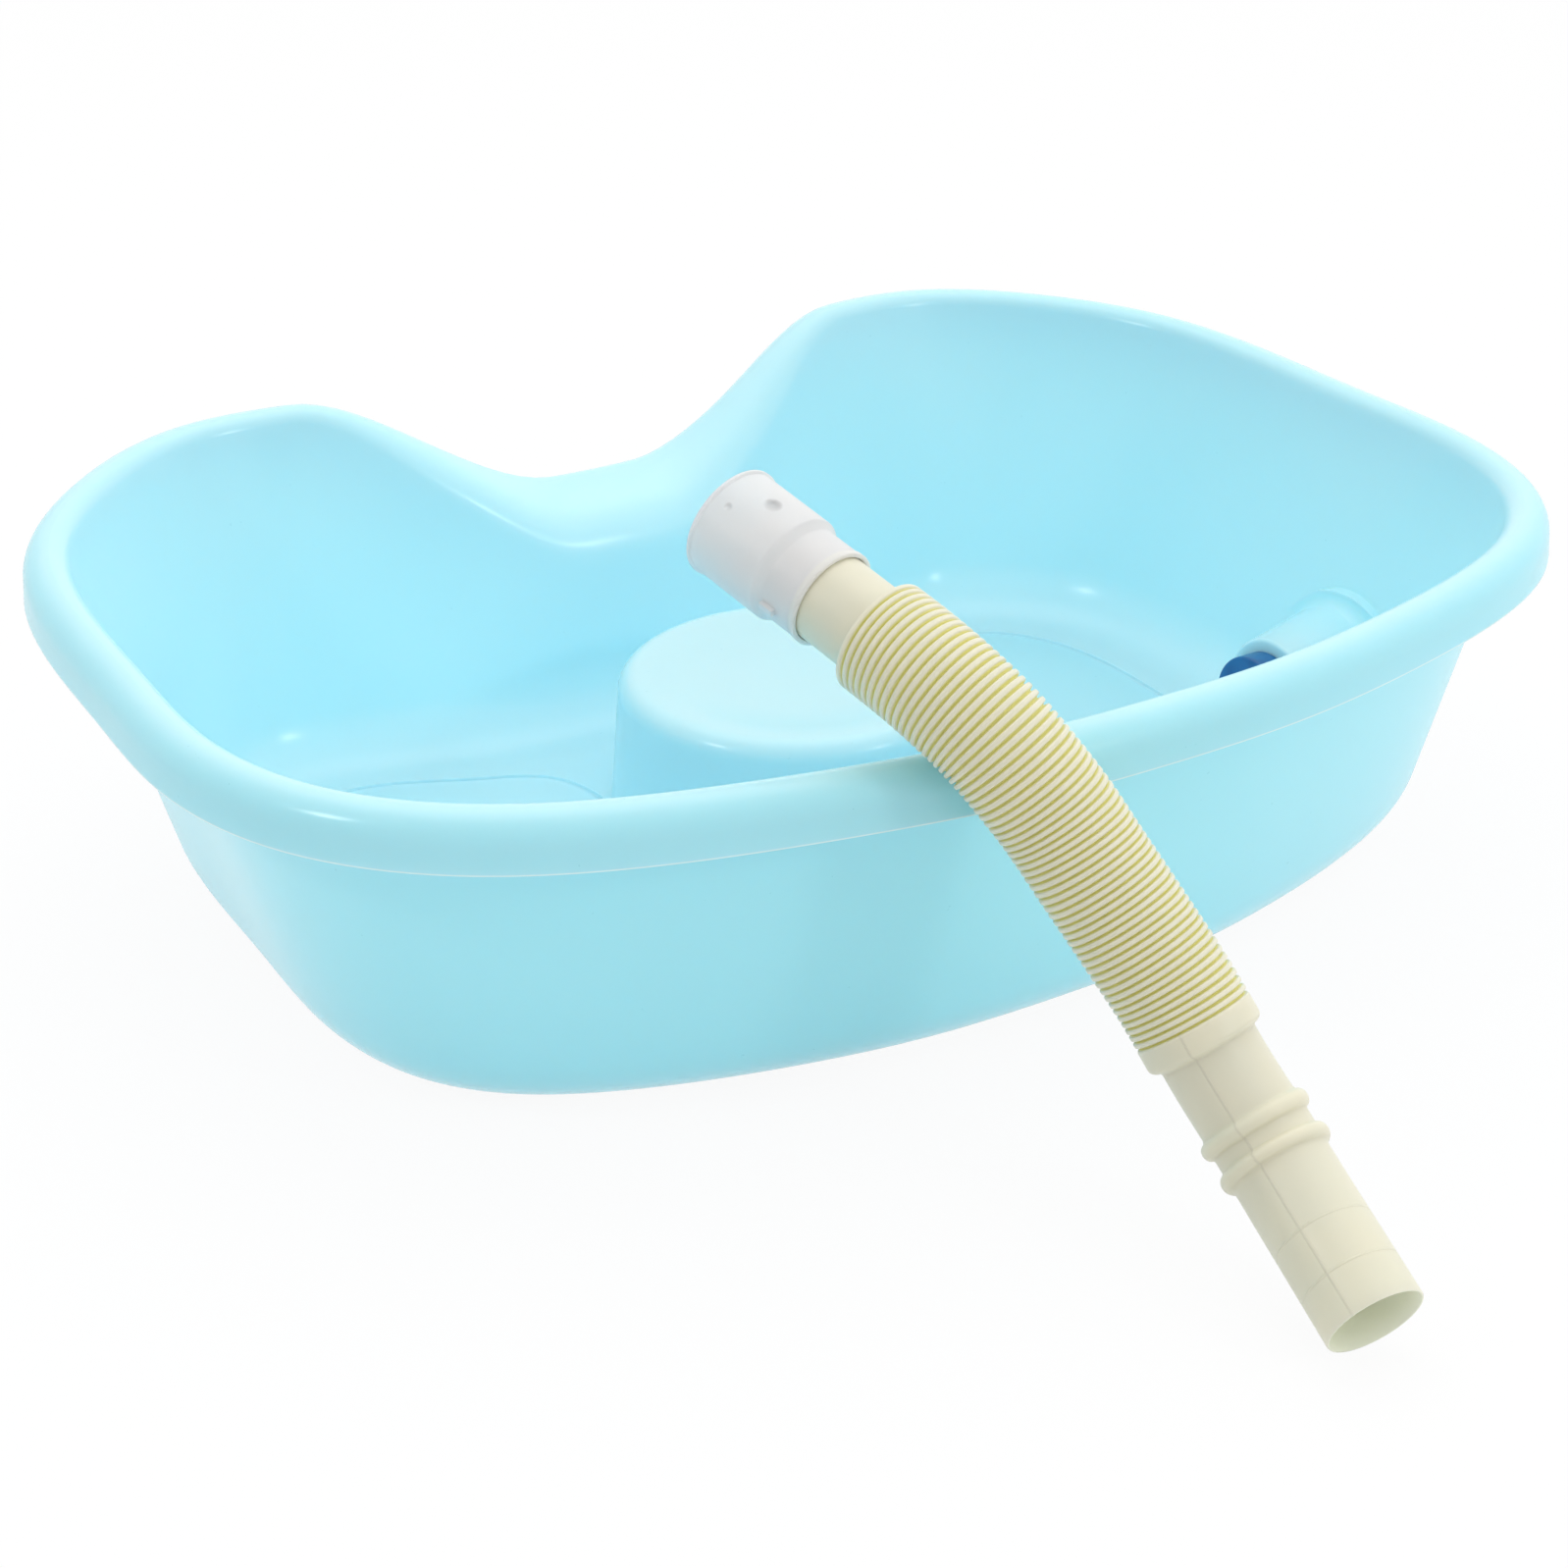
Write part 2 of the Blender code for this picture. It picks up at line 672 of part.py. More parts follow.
def hose_points(stations):
    """Points on the hose's axis at lengths from the adapter's mouth, each with its radius."""
    dense, lengths = smooth_curve(HOSE_ROUTE, closed=False)
    places = points_at(dense, lengths, [place for place, _ in stations])
    return [(*point, radius) for point, (_, radius) in zip(places, stations)]


def hose_length():
    return smooth_curve(HOSE_ROUTE, closed=False)[1][-1]


def rib_stations():
    """Crest and valley of each rib of the bellows."""
    pitch = (BELLOWS_END - BELLOWS_START) / RIBS
    crest_share, valley_share = RIB_SHARES
    stations = []
    for rib in range(RIBS):
        start = BELLOWS_START + rib * pitch
        stations.append((start + crest_share * pitch, BELLOWS_RADIUS))
        stations.append((start + valley_share * pitch, BELLOWS_RADIUS - RIB_DEPTH))
    return stations


def bead_stations(centre):
    """A half-round bead on the lower cuff."""
    angles = np.linspace(0, math.pi, EDGE_POINTS)
    return [
        (centre - BEAD_RADIUS * math.cos(a), LOWER_CUFF_RADIUS + BEAD_HEIGHT * math.sin(a)) for a in angles
    ]


def even_stations(start, end, steps, radius):
    """Stations of one radius between two places, with both of them."""
    return [(place, radius) for place in np.linspace(start, end, steps + 1)]


def shoulder_stations():
    """The ring under the bellows and its rounded step down to the cuff."""
    stations = [(BELLOWS_END + CUFF_STEP / 2, BELLOWS_RADIUS)]
    start = SHOULDER_RING_END - CUFF_STEP
    for along_share, drop_share in SHOULDER_STEP_SHARES:
        place = blend(start, SHOULDER_RING_END, along_share)
        stations.append((place, blend(BELLOWS_RADIUS, LOWER_CUFF_RADIUS, drop_share)))
    return stations


def hose_outside():
    """(length along the axis, radius) down the outside of the hose."""
    end = hose_length()
    first_bead, last_bead = BEADS_AT
    stations = even_stations(HOSE_START, BELLOWS_START - CUFF_STEP, CUFF_STEPS, UPPER_CUFF_RADIUS)
    stations.append((BELLOWS_START, BELLOWS_RADIUS - RIB_DEPTH))
    stations += rib_stations()
    stations += shoulder_stations()
    neck_end = first_bead - BEAD_RADIUS
    stations += even_stations(SHOULDER_RING_END, neck_end, CUFF_STEPS, LOWER_CUFF_RADIUS)[1:-1]
    for centre in BEADS_AT:
        stations += bead_stations(centre)
    straight = end - STRAIGHT_END
    stations += even_stations(last_bead + BEAD_RADIUS, straight, CUFF_STEPS, LOWER_CUFF_RADIUS)[1:]
    stations += even_stations(straight, end, CUFF_STEPS, LOWER_CUFF_RADIUS)[1:]
    return stations


def hose_inside():
    """(length along the axis, radius) down the plainer bore, run past both ends."""
    end = hose_length()
    upper = UPPER_CUFF_RADIUS - HOSE_WALL
    middle = BELLOWS_RADIUS - RIB_DEPTH - HOSE_WALL
    lower = LOWER_CUFF_RADIUS - HOSE_WALL
    straight = end - STRAIGHT_END
    stations = even_stations(HOSE_START, BELLOWS_START - CUFF_STEP, CUFF_STEPS, upper)
    stations += even_stations(BELLOWS_START, BELLOWS_END, BORE_STEPS, middle)
    stations.append((SHOULDER_RING_END - CUFF_STEP, middle))
    stations += even_stations(SHOULDER_RING_END, straight, BORE_STEPS // 2, lower)
    stations.append((end, lower))
    return stations


def run_past(points, overrun):
    """Moves a tube's first and last point outwards along its end pieces."""
    places = [Vector(point[:3]) for point in points]
    first = places[0] + (places[0] - places[1]).normalized() * overrun
    last = places[-1] + (places[-1] - places[-2]).normalized() * overrun
    return [(*first, points[0][3])] + points[1:-1] + [(*last, points[-1][3])]


def tube(name, points, collection):
    """A tube of round section, with each point's own radius, closed at both ends."""
    unit = BELLOWS_RADIUS
    shares = [(x, y, z, radius / unit) for x, y, z, radius in points]
    obj = curve_object(name, [shares], collection, cyclic=False, dimensions="3D")
    obj.data.bevel_depth = unit
    obj.data.bevel_resolution = TUBE_RESOLUTION
    obj.data.use_fill_caps = True
    return curve_to_mesh(obj, collection)


def make_hose(parts, tools, material):
    """One blow moulding: upper cuff, ribbed bellows, shoulder, two beads and the lower cuff."""
    hose = tube("drain_hose", hose_points(hose_outside()), parts)
    bore_points = run_past(hose_points(hose_inside()), CUT_OVERRUN)
    bore = make_helper(tube("hose_bore", bore_points, tools))
    cut = hose.modifiers.new("Bore", "BOOLEAN")
    cut.operation = "DIFFERENCE"
    cut.object = bore
    smooth(hose, material)
    return hose


def adapter_profile():
    """(radius, length from the mouth) round the adapter's wall."""
    collar = UPPER_CUFF_RADIUS + SLIP_FIT
    mouth = ADAPTER_MOUTH_RADIUS
    collar_outside = collar + ADAPTER_WALL
    taper_end = ADAPTER_SHOULDER_AT + ADAPTER_TAPER
    outside = [(collar_outside, ADAPTER_LENGTH), (collar_outside, taper_end), (mouth, ADAPTER_SHOULDER_AT)]
    outside.append((mouth, 0))
    inside = [(mouth - ADAPTER_WALL, 0), (mouth - ADAPTER_WALL, ADAPTER_SHOULDER_AT - ADAPTER_WALL)]
    inside += [(collar, taper_end - ADAPTER_WALL), (collar, ADAPTER_LENGTH)]
    return closed_profile(outside + inside)


def make_adapter(parts, tools, material):
    """The clear sleeve that joins the hose's thin upper cuff to the wider drain spigot."""
    adapter = turned("hose_sleeve", adapter_profile(), parts)
    along = (Vector(HOSE_ROUTE[2]) - Vector(HOSE_ROUTE[0])).normalized()
    adapter.location = HOSE_ROUTE[0]
    adapter.rotation_mode = "QUATERNION"
    adapter.rotation_quaternion = along.to_track_quat("Z", "Y")
    lug = make_helper(adapter_lug(tools))
    lug.parent = adapter
    join = adapter.modifiers.new("Lug", "BOOLEAN")
    join.operation = "UNION"
    join.object = lug
    smooth(adapter, material)
    return adapter


def adapter_lug(collection):
    """The small moulded key on the collar, behind the shoulder."""
    width, length, height = ADAPTER_LUG
    mesh = bmesh.new()
    bmesh.ops.create_cube(mesh, size=1)
    bmesh.ops.scale(mesh, vec=(height + ADAPTER_WALL / 2, width, length), verts=mesh.verts)
    lug = add_object("adapter_lug", to_mesh("adapter_lug", mesh), collection)
    collar_outside = UPPER_CUFF_RADIUS + SLIP_FIT + ADAPTER_WALL
    centre = collar_outside + (height - ADAPTER_WALL / 2) / 2
    along = ADAPTER_SHOULDER_AT + ADAPTER_TAPER + length / 2
    lug.location = (centre * math.cos(LUG_TURN), centre * math.sin(LUG_TURN), along)
    lug.rotation_euler.z = LUG_TURN
    return lug


def build():
    clear_scene()
    parts = new_collection(OBJECT_NAME)
    tools = new_collection("tools")
    make_basin(parts, tools, plastic("basin_blue", (0.42, 0.82, 0.93), 0.3))
    make_plug(parts, plastic("plug_blue", (0.0, 0.13, 0.46), 0.35))
    make_hose(parts, tools, plastic("hose_cream", (0.76, 0.75, 0.60), 0.45))
    make_adapter(parts, tools, plastic("sleeve_milky", (0.80, 0.80, 0.80), 0.35, MILKY))


build()
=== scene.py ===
"""The look of the portable shampoo basin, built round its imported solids."""

import math

import bmesh
import bpy
import numpy as np
from mathutils import Matrix, Vector


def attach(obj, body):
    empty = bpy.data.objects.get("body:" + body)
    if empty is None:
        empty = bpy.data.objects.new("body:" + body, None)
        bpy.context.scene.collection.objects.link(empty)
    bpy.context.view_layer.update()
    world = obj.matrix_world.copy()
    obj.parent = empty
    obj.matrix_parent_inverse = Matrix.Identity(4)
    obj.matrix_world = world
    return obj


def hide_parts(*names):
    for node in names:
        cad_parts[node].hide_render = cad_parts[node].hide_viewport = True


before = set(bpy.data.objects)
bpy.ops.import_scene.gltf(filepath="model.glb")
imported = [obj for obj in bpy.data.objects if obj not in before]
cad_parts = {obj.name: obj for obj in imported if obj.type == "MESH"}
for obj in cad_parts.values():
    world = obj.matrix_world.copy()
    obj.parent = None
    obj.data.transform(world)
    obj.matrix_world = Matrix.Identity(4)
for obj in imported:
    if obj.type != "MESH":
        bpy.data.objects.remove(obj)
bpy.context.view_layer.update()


# Camera
# The viewpoint of the photograph: off the front left corner, a little above the rim.
# Eye, view direction and right-hand direction are in metres in the basin's own frame.
EYE = Vector((-0.45812, -0.71170, 0.44868))
VIEW = Vector((0.47185, 0.75812, -0.45013))
RIGHT = Vector((0.84849, -0.52921, -0.00187))

camera = bpy.data.objects.new("camera", bpy.data.cameras.new("camera"))
bpy.context.scene.collection.objects.link(camera)
back = -VIEW.normalized()
right = (RIGHT - RIGHT.project(back)).normalized()
turn = Matrix((right, back.cross(right), back)).transposed()
camera.matrix_world = Matrix.Translation(EYE) @ turn.to_4x4()
camera.data.sensor_width = 36.0
camera.data.lens = 62.29
camera.data.clip_end = 20.0
bpy.context.scene.camera = camera


# Drain hose
# One blow moulding in soft cream polyethylene: a thin upper cuff, a bellows of fine ribs, a
# shoulder ring, two round beads and the lower cuff with its open end. It lies loose over the
# front rim and comes down to the surface, with a faint mould line along both its sides.
HOSE_ROUTE = (
    (-0.0916, -0.0962, 0.1699),
    (-0.0854, -0.1241, 0.1615),
    (-0.0792, -0.1522, 0.1530),
    (-0.0773, -0.1593, 0.1506),
    (-0.0753, -0.1660, 0.1479),
    (-0.0707, -0.1777, 0.1414),
    (-0.0656, -0.1877, 0.1334),
    (-0.0602, -0.1960, 0.1237),
    (-0.0548, -0.2034, 0.1132),
    (-0.0503, -0.2109, 0.1023),
    (-0.0460, -0.2187, 0.0917),
    (-0.0420, -0.2269, 0.0812),
    (-0.0383, -0.2353, 0.0708),
    (-0.0355, -0.2438, 0.0603),
    (-0.0332, -0.2528, 0.0503),
    (-0.0313, -0.2628, 0.0414),
    (-0.0306, -0.2738, 0.0334),
    (-0.0315, -0.2861, 0.0271),
    (-0.0335, -0.3023, 0.0203),
    (-0.0353, -0.3182, 0.0133),
)
HOSE_START = 0.0279
UPPER_CUFF_RADIUS = 0.0132
BELLOWS_START = 0.0598
BELLOWS_END = 0.1960
BELLOWS_RADIUS = 0.0170
RIB_DEPTH = 0.0014
RIBS = 60
RING_END = 0.2049
LOWER_CUFF_RADIUS = 0.0141
BEADS_AT = (0.2283, 0.2385)
BEAD_RADIUS = 0.0026
BEAD_HEIGHT = 0.0020
HOSE_WALL = 0.0011
HOSE_SIDES = 72
STEP_ROUND = 0.0008
BORE_STEP = 0.0022
# The shoulder ring's flat top lies this far past the bellows and this far before the ring's end,
# and its two rounds, one standing out and one hollow, meet at a slope.
RING_FLAT = (0.0026, 0.0034)
RING_ROUND = 0.0022
RING_ROUND_BACK = 0.0030
RING_HOLLOW = 0.0012
RING_HOLLOW_PAST = 0.0004
RING_SLOPE = 0.15
NECK_START = 0.0030
BEAD_FOOT = 0.0006
BEAD_LIFT = 0.0002
BEAD_START = 0.12
LOWER_CUFF_START = 0.0016
END_ROUND = 0.0004
# How far in the points of the open end's thin lip lie.
END_LIP = (0.0002, 0.0005, 0.0007)
MOULD_LINE_TURN = math.radians(152.5)
# One rib in its pitch: share of the pitch, and share of the rib's depth left over the valley.
RIB_SHAPE = (
    (0.0, 0.35),
    (0.05, 0.75),
    (0.12, 0.95),
    (0.22, 1.0),
    (0.50, 1.0),
    (0.60, 0.95),
    (0.66, 0.75),
    (0.71, 0.35),
    (0.77, 0.05),
    (0.85, 0.0),
    (0.94, 0.05),
)
# Where two faint rings go round the lower cuff.
HOSE_MARKS_AT = (0.2640, 0.2775)
CURVE_SAMPLES = 24
# Points of a mesh that lie nearer than this are one point.
MERGE = 0.000004
MM = 1000


def cubic_through(knots, closed):
    """Close points on the cubic curve through the knots, and the length along it at each."""
    points = np.array(knots, dtype=float)
    count = len(points)
    ends = np.roll(points, -1, axis=0) if closed else points[1:]
    steps = np.linalg.norm(ends - points[: len(ends)], axis=1)
    matrix = np.eye(count)
    rates = np.zeros_like(points)
    for i in range(count) if closed else range(1, count - 1):
        before, after = steps[i - 1], steps[i % len(steps)]
        following = (i + 1) % count
        matrix[i, i] = 2 * (before + after)
        matrix[i, i - 1] = before
        matrix[i, following] = after
        rates[i] = 6 * ((points[following] - points[i]) / after - (points[i] - points[i - 1]) / before)
    moments = np.linalg.solve(matrix, rates)
    dense = []
    for i, step in enumerate(steps):
        j = (i + 1) % count
        for share in np.arange(CURVE_SAMPLES) / CURVE_SAMPLES:
            rest = 1 - share
            bow = (rest**3 - rest) * moments[i] + (share**3 - share) * moments[j]
            dense.append(rest * points[i] + share * points[j] + bow * step**2 / 6)
    dense.append(points[0] if closed else points[-1])
    dense = np.array(dense)
    lengths = np.concatenate([[0], np.cumsum(np.linalg.norm(np.diff(dense, axis=0), axis=1))])
    return dense, lengths


def at_length(curve, place):
    dense, lengths = curve
    return Vector([float(np.interp(place, lengths, dense[:, axis])) for axis in range(dense.shape[1])])


def wrapped_grid(rows, columns, place, marks=()):
    """A grid whose points and marks come from place(row, column), closed where its edges meet."""
    mesh = bmesh.new()
    bmesh.ops.create_grid(mesh, x_segments=columns, y_segments=rows, size=1)
    layers = [mesh.verts.layers.float.new(mark) for mark in marks]
    for vert in mesh.verts:
        row = round((vert.co.y + 1) / 2 * rows)
        column = round((vert.co.x + 1) / 2 * columns)
        spot, *values = place(row, column)
        vert.co = spot
        for layer, value in zip(layers, values):
            vert[layer] = value
    bmesh.ops.remove_doubles(mesh, verts=mesh.verts, dist=MERGE)
    bmesh.ops.recalc_face_normals(mesh, faces=mesh.faces)
    return mesh


def finished(name, mesh, material, crease=35):
    data = bpy.data.meshes.new(name)
    mesh.to_mesh(data)
    mesh.free()
    data.materials.append(material)
    data.shade_smooth()
    data.set_sharp_from_angle(angle=math.radians(crease))
    piece = bpy.data.objects.new(name, data)
    bpy.context.scene.collection.objects.link(piece)
    return piece


def arc(centre, radius, start, end, count):
    """Points on a round, by angle from its first axis towards its second."""
    angles = np.linspace(start, end, count)
    return [(centre[0] + radius * math.cos(a), centre[1] + radius * math.sin(a)) for a in angles]


hose_line = cubic_through(HOSE_ROUTE, closed=False)
HOSE_END = float(hose_line[1][-1])


def hose_profile():
    """(length along the hose, radius) down its outside, round the open end and back inside."""
    half = math.pi / 2
    upper, ring, lower = UPPER_CUFF_RADIUS, BELLOWS_RADIUS, LOWER_CUFF_RADIUS
    cuff_end = BELLOWS_START - 2 * STEP_ROUND
    outside = [(place, upper) for place in np.linspace(HOSE_START, cuff_end, 8)]
    outside += arc((cuff_end, upper + STEP_ROUND), STEP_ROUND, -half, 0, 4)[1:]
    pitch = (BELLOWS_END - BELLOWS_START) / RIBS
    for rib in range(RIBS):
        for along, rise in RIB_SHAPE:
            outside.append((BELLOWS_START + (rib + along) * pitch, ring - RIB_DEPTH * (1 - rise)))
    outside += arc((BELLOWS_END + STEP_ROUND, ring - STEP_ROUND), STEP_ROUND, math.pi, half, 4)
    flat = np.linspace(BELLOWS_END + RING_FLAT[0], RING_END - RING_FLAT[1], 3)
    outside += [(place, ring) for place in flat]
    round_centre = (RING_END - RING_ROUND_BACK, ring - RING_ROUND)
    outside += arc(round_centre, RING_ROUND, half, RING_SLOPE, 8)
    hollow_centre = (RING_END + RING_HOLLOW_PAST, lower + RING_HOLLOW)
    outside += arc(hollow_centre, RING_HOLLOW, -math.pi + RING_SLOPE, -half, 6)
    neck_end = BEADS_AT[0] - BEAD_RADIUS
    neck = np.linspace(RING_END + NECK_START, neck_end - 2 * BEAD_FOOT, 8)
    outside += [(place, lower) for place in neck]
    for centre in BEADS_AT:
        outside.append((centre - BEAD_RADIUS - BEAD_FOOT, lower + BEAD_LIFT / 2))
        outside += [
            (centre - BEAD_RADIUS * math.cos(a), lower + BEAD_LIFT + BEAD_HEIGHT * math.sin(a))
            for a in np.linspace(BEAD_START, math.pi - BEAD_START, 11)
        ]
        outside.append((centre + BEAD_RADIUS + BEAD_FOOT, lower + BEAD_LIFT / 2))
    lower_start, lower_end = BEADS_AT[1] + BEAD_RADIUS + LOWER_CUFF_START, HOSE_END - END_ROUND
    outside += [(place, lower) for place in np.linspace(lower_start, lower_end, 16)]
    lip = [(HOSE_END, lower - END_LIP[0]), (HOSE_END, lower - END_LIP[1])]
    lip += [(lower_end, lower - END_LIP[2])]
    inside = [(place, lower - HOSE_WALL) for place in np.linspace(HOSE_END - 0.004, RING_END, 26)]
    bellows_bore = np.linspace(RING_END - BORE_STEP, BELLOWS_START, 60)
    inside += [(place, ring - RIB_DEPTH - HOSE_WALL) for place in bellows_bore]
    cuff_bore = np.linspace(BELLOWS_START - BORE_STEP, HOSE_START, 8)
    inside += [(place, upper - HOSE_WALL) for place in cuff_bore]
    return outside + lip + inside + [outside[0]]


def hose_frames(places):
    """Centre, side and up at each place, carried along the hose without twist."""
    frames = []
    side = Vector((1, 0, 0))
    for place in places:
        centre = at_length(hose_line, place)
        along = (at_length(hose_line, place + 0.001) - at_length(hose_line, place - 0.001)).normalized()
        side = (side - side.project(along)).normalized()
        frames.append((centre, side, along.cross(side)))
    return frames


profile = hose_profile()
order = sorted({float(place) for place, _ in profile})
frames = dict(zip(order, hose_frames(order)))
bore_row = max(row for row, (place, _) in enumerate(profile) if place == HOSE_END)


def hose_point(row, column):
    place, radius = profile[row]
    centre, side, up = frames[float(place)]
    turn_round = column * 2 * math.pi / HOSE_SIDES
    angle = MOULD_LINE_TURN + turn_round
    spot = centre + (math.cos(angle) * side + math.sin(angle) * up) * float(radius)
    outer = radius > BELLOWS_RADIUS - RIB_DEPTH - HOSE_WALL / 2
    ribbed = outer and BELLOWS_START <= place <= BELLOWS_END
    valley = (BELLOWS_RADIUS - radius) / RIB_DEPTH if ribbed else 0.0
    off = (turn_round + math.pi / 2) % math.pi - math.pi / 2
    return spot, valley, float(row >= bore_row), abs(off) * radius * MM, place * MM


def plastic(name, color, roughness):
    """A Principled material, with its node tree and shader."""
    material = bpy.data.materials.new(name)
    material.use_nodes = True
    tree = material.node_tree
    shader = tree.nodes["Principled BSDF"]
    shader.inputs["Base Color"].default_value = (*color, 1)
    shader.inputs["Roughness"].default_value = roughness
    return material, tree, shader


def node(tree, kind, settings=None, **inputs):
    """Adds a node; each input is a value or another node's output."""
    made = tree.nodes.new("ShaderNode" + kind)
    for key, value in (settings or {}).items():
        setattr(made, key, value)
    for key, value in inputs.items():
        numbered = key[0] == "i" and key[1:].isdigit()
        socket = made.inputs[int(key[1:]) if numbered else key.replace("_", " ")]
        if isinstance(value, bpy.types.NodeSocket):
            tree.links.new(value, socket)
        else:
            socket.default_value = value
    return made


def reckoned(tree, operation, *values):
    """What one sum makes of values or outputs."""
    numbered = {f"i{place}": value for place, value in enumerate(values)}
    return node(tree, "Math", {"operation": operation}, **numbered).outputs[0]


def marked(tree, name):
    """The value that a mark has on the mesh."""
    return node(tree, "Attribute", {"attribute_name": name}).outputs["Fac"]


def object_noise(tree, scale, detail=3.0):
    """Noise in the object's own metres."""
    here = node(tree, "TexCoord").outputs["Object"]
    return node(tree, "TexNoise", Vector=here, Scale=scale, Detail=detail).outputs["Fac"]


def ramp(tree, value, low, high, to_low=0.0, to_high=1.0):
    """Runs a value from one range to another, smoothly and without leaving it."""
    made = node(
        tree,
        "MapRange",
        {"interpolation_type": "SMOOTHSTEP"},
        Value=value,
        From_Min=low,
        From_Max=high,
        To_Min=to_low,
        To_Max=to_high,
    )
    return made.outputs["Result"]


def mixed(tree, share, first, second):
    """A colour between two colours or colour outputs."""
    return node(tree, "Mix", {"data_type": "RGBA"}, i0=share, i6=first, i7=second).outputs[2]


def lit_within(shader, weight, radius):
    """Lets light go a little way through the plastic."""
    shader.inputs["Subsurface Weight"].default_value = weight
    shader.inputs["Subsurface Radius"].default_value = radius
    shader.inputs["Subsurface Scale"].default_value = 1.0


def hose_plastic():
    """Cream, with painted light: the rib valleys lighter and yellower and the bore paler and greener,
    for light through the thin wall; with a faint mould line and two rings.
    """
    material, tree, shader = plastic("hose cream", (0.77, 0.74, 0.58), 0.4)
    bore = marked(tree, "bore")
    along = marked(tree, "along")
    cloud = object_noise(tree, 60.0)
    cream = mixed(tree, ramp(tree, cloud, 0.2, 0.8), (0.79, 0.75, 0.58, 1), (0.75, 0.73, 0.58, 1))
    # Painted light: the rib valleys are made lighter and yellower, as if lit through the thin wall.
    ribbed = mixed(tree, ramp(tree, marked(tree, "valley"), 0.1, 0.9), cream, (0.86, 0.82, 0.32, 1))
    # Painted light: the bore is made paler and greener, as if lit through the thin wall.
    bore_lit = mixed(tree, bore, ribbed, (0.95, 0.98, 0.76, 1))
    line = ramp(tree, marked(tree, "off_mould_line"), 0.15, 0.5, 1.0, 0.0)
    smooth_part = ramp(tree, along, BELLOWS_END * MM - 1, BELLOWS_END * MM + 1)
    outside = ramp(tree, bore, 0.0, 1.0, 1.0, 0.0)
    seam = reckoned(tree, "MULTIPLY", reckoned(tree, "MULTIPLY", line, smooth_part), outside)
    lined = mixed(tree, reckoned(tree, "MULTIPLY", seam, 0.6), bore_lit, (0.68, 0.65, 0.52, 1))
    tree.links.new(lined, shader.inputs["Base Color"])
    tree.links.new(ramp(tree, cloud, 0.2, 0.8, 0.33, 0.46), shader.inputs["Roughness"])
    lit_within(shader, 0.4, (0.003, 0.003, 0.003))
    bump = node(tree, "Bump", Strength=0.15, Distance=0.0003, Height=object_noise(tree, 220.0))
    raised = seam
    for centre in HOSE_MARKS_AT:
        off = reckoned(tree, "ABSOLUTE", reckoned(tree, "SUBTRACT", along, centre * MM))
        raised = reckoned(tree, "ADD", raised, ramp(tree, off, 0.1, 0.4, 1.0, 0.0))
    waved = bump.outputs["Normal"]
    moulded = node(tree, "Bump", Strength=0.5, Distance=0.0003, Height=raised, Normal=waved)
    tree.links.new(moulded.outputs["Normal"], shader.inputs["Normal"])
    return material


hose_marks = ("valley", "bore", "off_mould_line", "along")
hose_mesh = wrapped_grid(len(profile) - 1, HOSE_SIDES, hose_point, hose_marks)
hose = finished("ribbed_hose", hose_mesh, hose_plastic(), crease=60)
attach(hose, "hose")
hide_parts("drain_hose")


# Adapter sleeve
# A short injection-moulded sleeve in milky, see-through polyethylene. It pushes over the hose's
# upper cuff and over the basin's spigot. Its wide mouth has a thin lip, and a shoulder leads to
# the collar, on which stands one small moulded key.
MOUTH_RADIUS = 0.0168
SLEEVE_WALL = 0.0011
SHOULDER_AT = 0.0253
COLLAR_RADIUS = 0.0146
SLEEVE_LENGTH = 0.0409
SLEEVE_SIDES = 128
# The mouth's thin lip: length from the mouth, and how far out from the mouth's radius.
MOUTH_LIP = ((-0.0009, -0.0001), (-0.0007, 0.0002), (0.0001, 0.0002), (0.0006, -0.0004))
SHOULDER_ROUND = 0.0010
# The collar's raised end: length before the sleeve's end, and how far out from the collar.
COLLAR_END = ((0.0018, 0.0003), (0.0003, 0.0003), (0.0, 0.0))
KEY_AT = 0.0309
KEY_LENGTH = 0.0052
KEY_WIDTH = 0.0022
KEY_HEIGHT = 0.0014
KEY_ROUND = 0.0003
KEY_TURN = math.radians(193.4)
# The gate's round pit and a smaller, shallower dot: place, width and share of the full depth.
GATE = ((-0.0900, -0.1150, 0.1814), 0.006, 1.0)
DOT = ((-0.1000, -0.1074, 0.1804), 0.003, 0.4)
PIT_DEPTH = 0.0015


def sleeve_profile():
    """(length from the mouth, radius) down the outside and back inside."""
    half = math.pi / 2
    outside = [(place, MOUTH_RADIUS + out) for place, out in MOUTH_LIP]
    body = outside[-1][1]
    outside += [(place, body) for place in np.linspace(0.004, SHOULDER_AT - 0.001, 8)]
    body_round = (SHOULDER_AT - 0.0005, body - SHOULDER_ROUND)
    collar_round = (SHOULDER_AT + 0.0030, COLLAR_RADIUS + SHOULDER_ROUND)
    outside += arc(body_round, SHOULDER_ROUND, half, 0.5, 5)
    outside += arc(collar_round, SHOULDER_ROUND, -half - 0.7, -half, 4)
    collar = np.linspace(SHOULDER_AT + 0.005, SLEEVE_LENGTH - 0.0022, 6)
    outside += [(place, COLLAR_RADIUS) for place in collar]
    outside += [(SLEEVE_LENGTH - back, COLLAR_RADIUS + out) for back, out in COLLAR_END]
    wide, narrow = MOUTH_RADIUS - SLEEVE_WALL, COLLAR_RADIUS - SLEEVE_WALL
    inside = [(SLEEVE_LENGTH, narrow + 0.0002), (SLEEVE_LENGTH - 0.0003, narrow)]
    inside += [(place, narrow) for place in np.linspace(SLEEVE_LENGTH - 0.002, SHOULDER_AT + 0.0026, 5)]
    inside += [(SHOULDER_AT - 0.0006, wide)]
    inside += [(place, wide) for place in np.linspace(SHOULDER_AT - 0.002, 0.0004, 8)]
    inside += [(MOUTH_LIP[0][0], wide + 0.0003)]
    return outside + inside + [outside[0]]


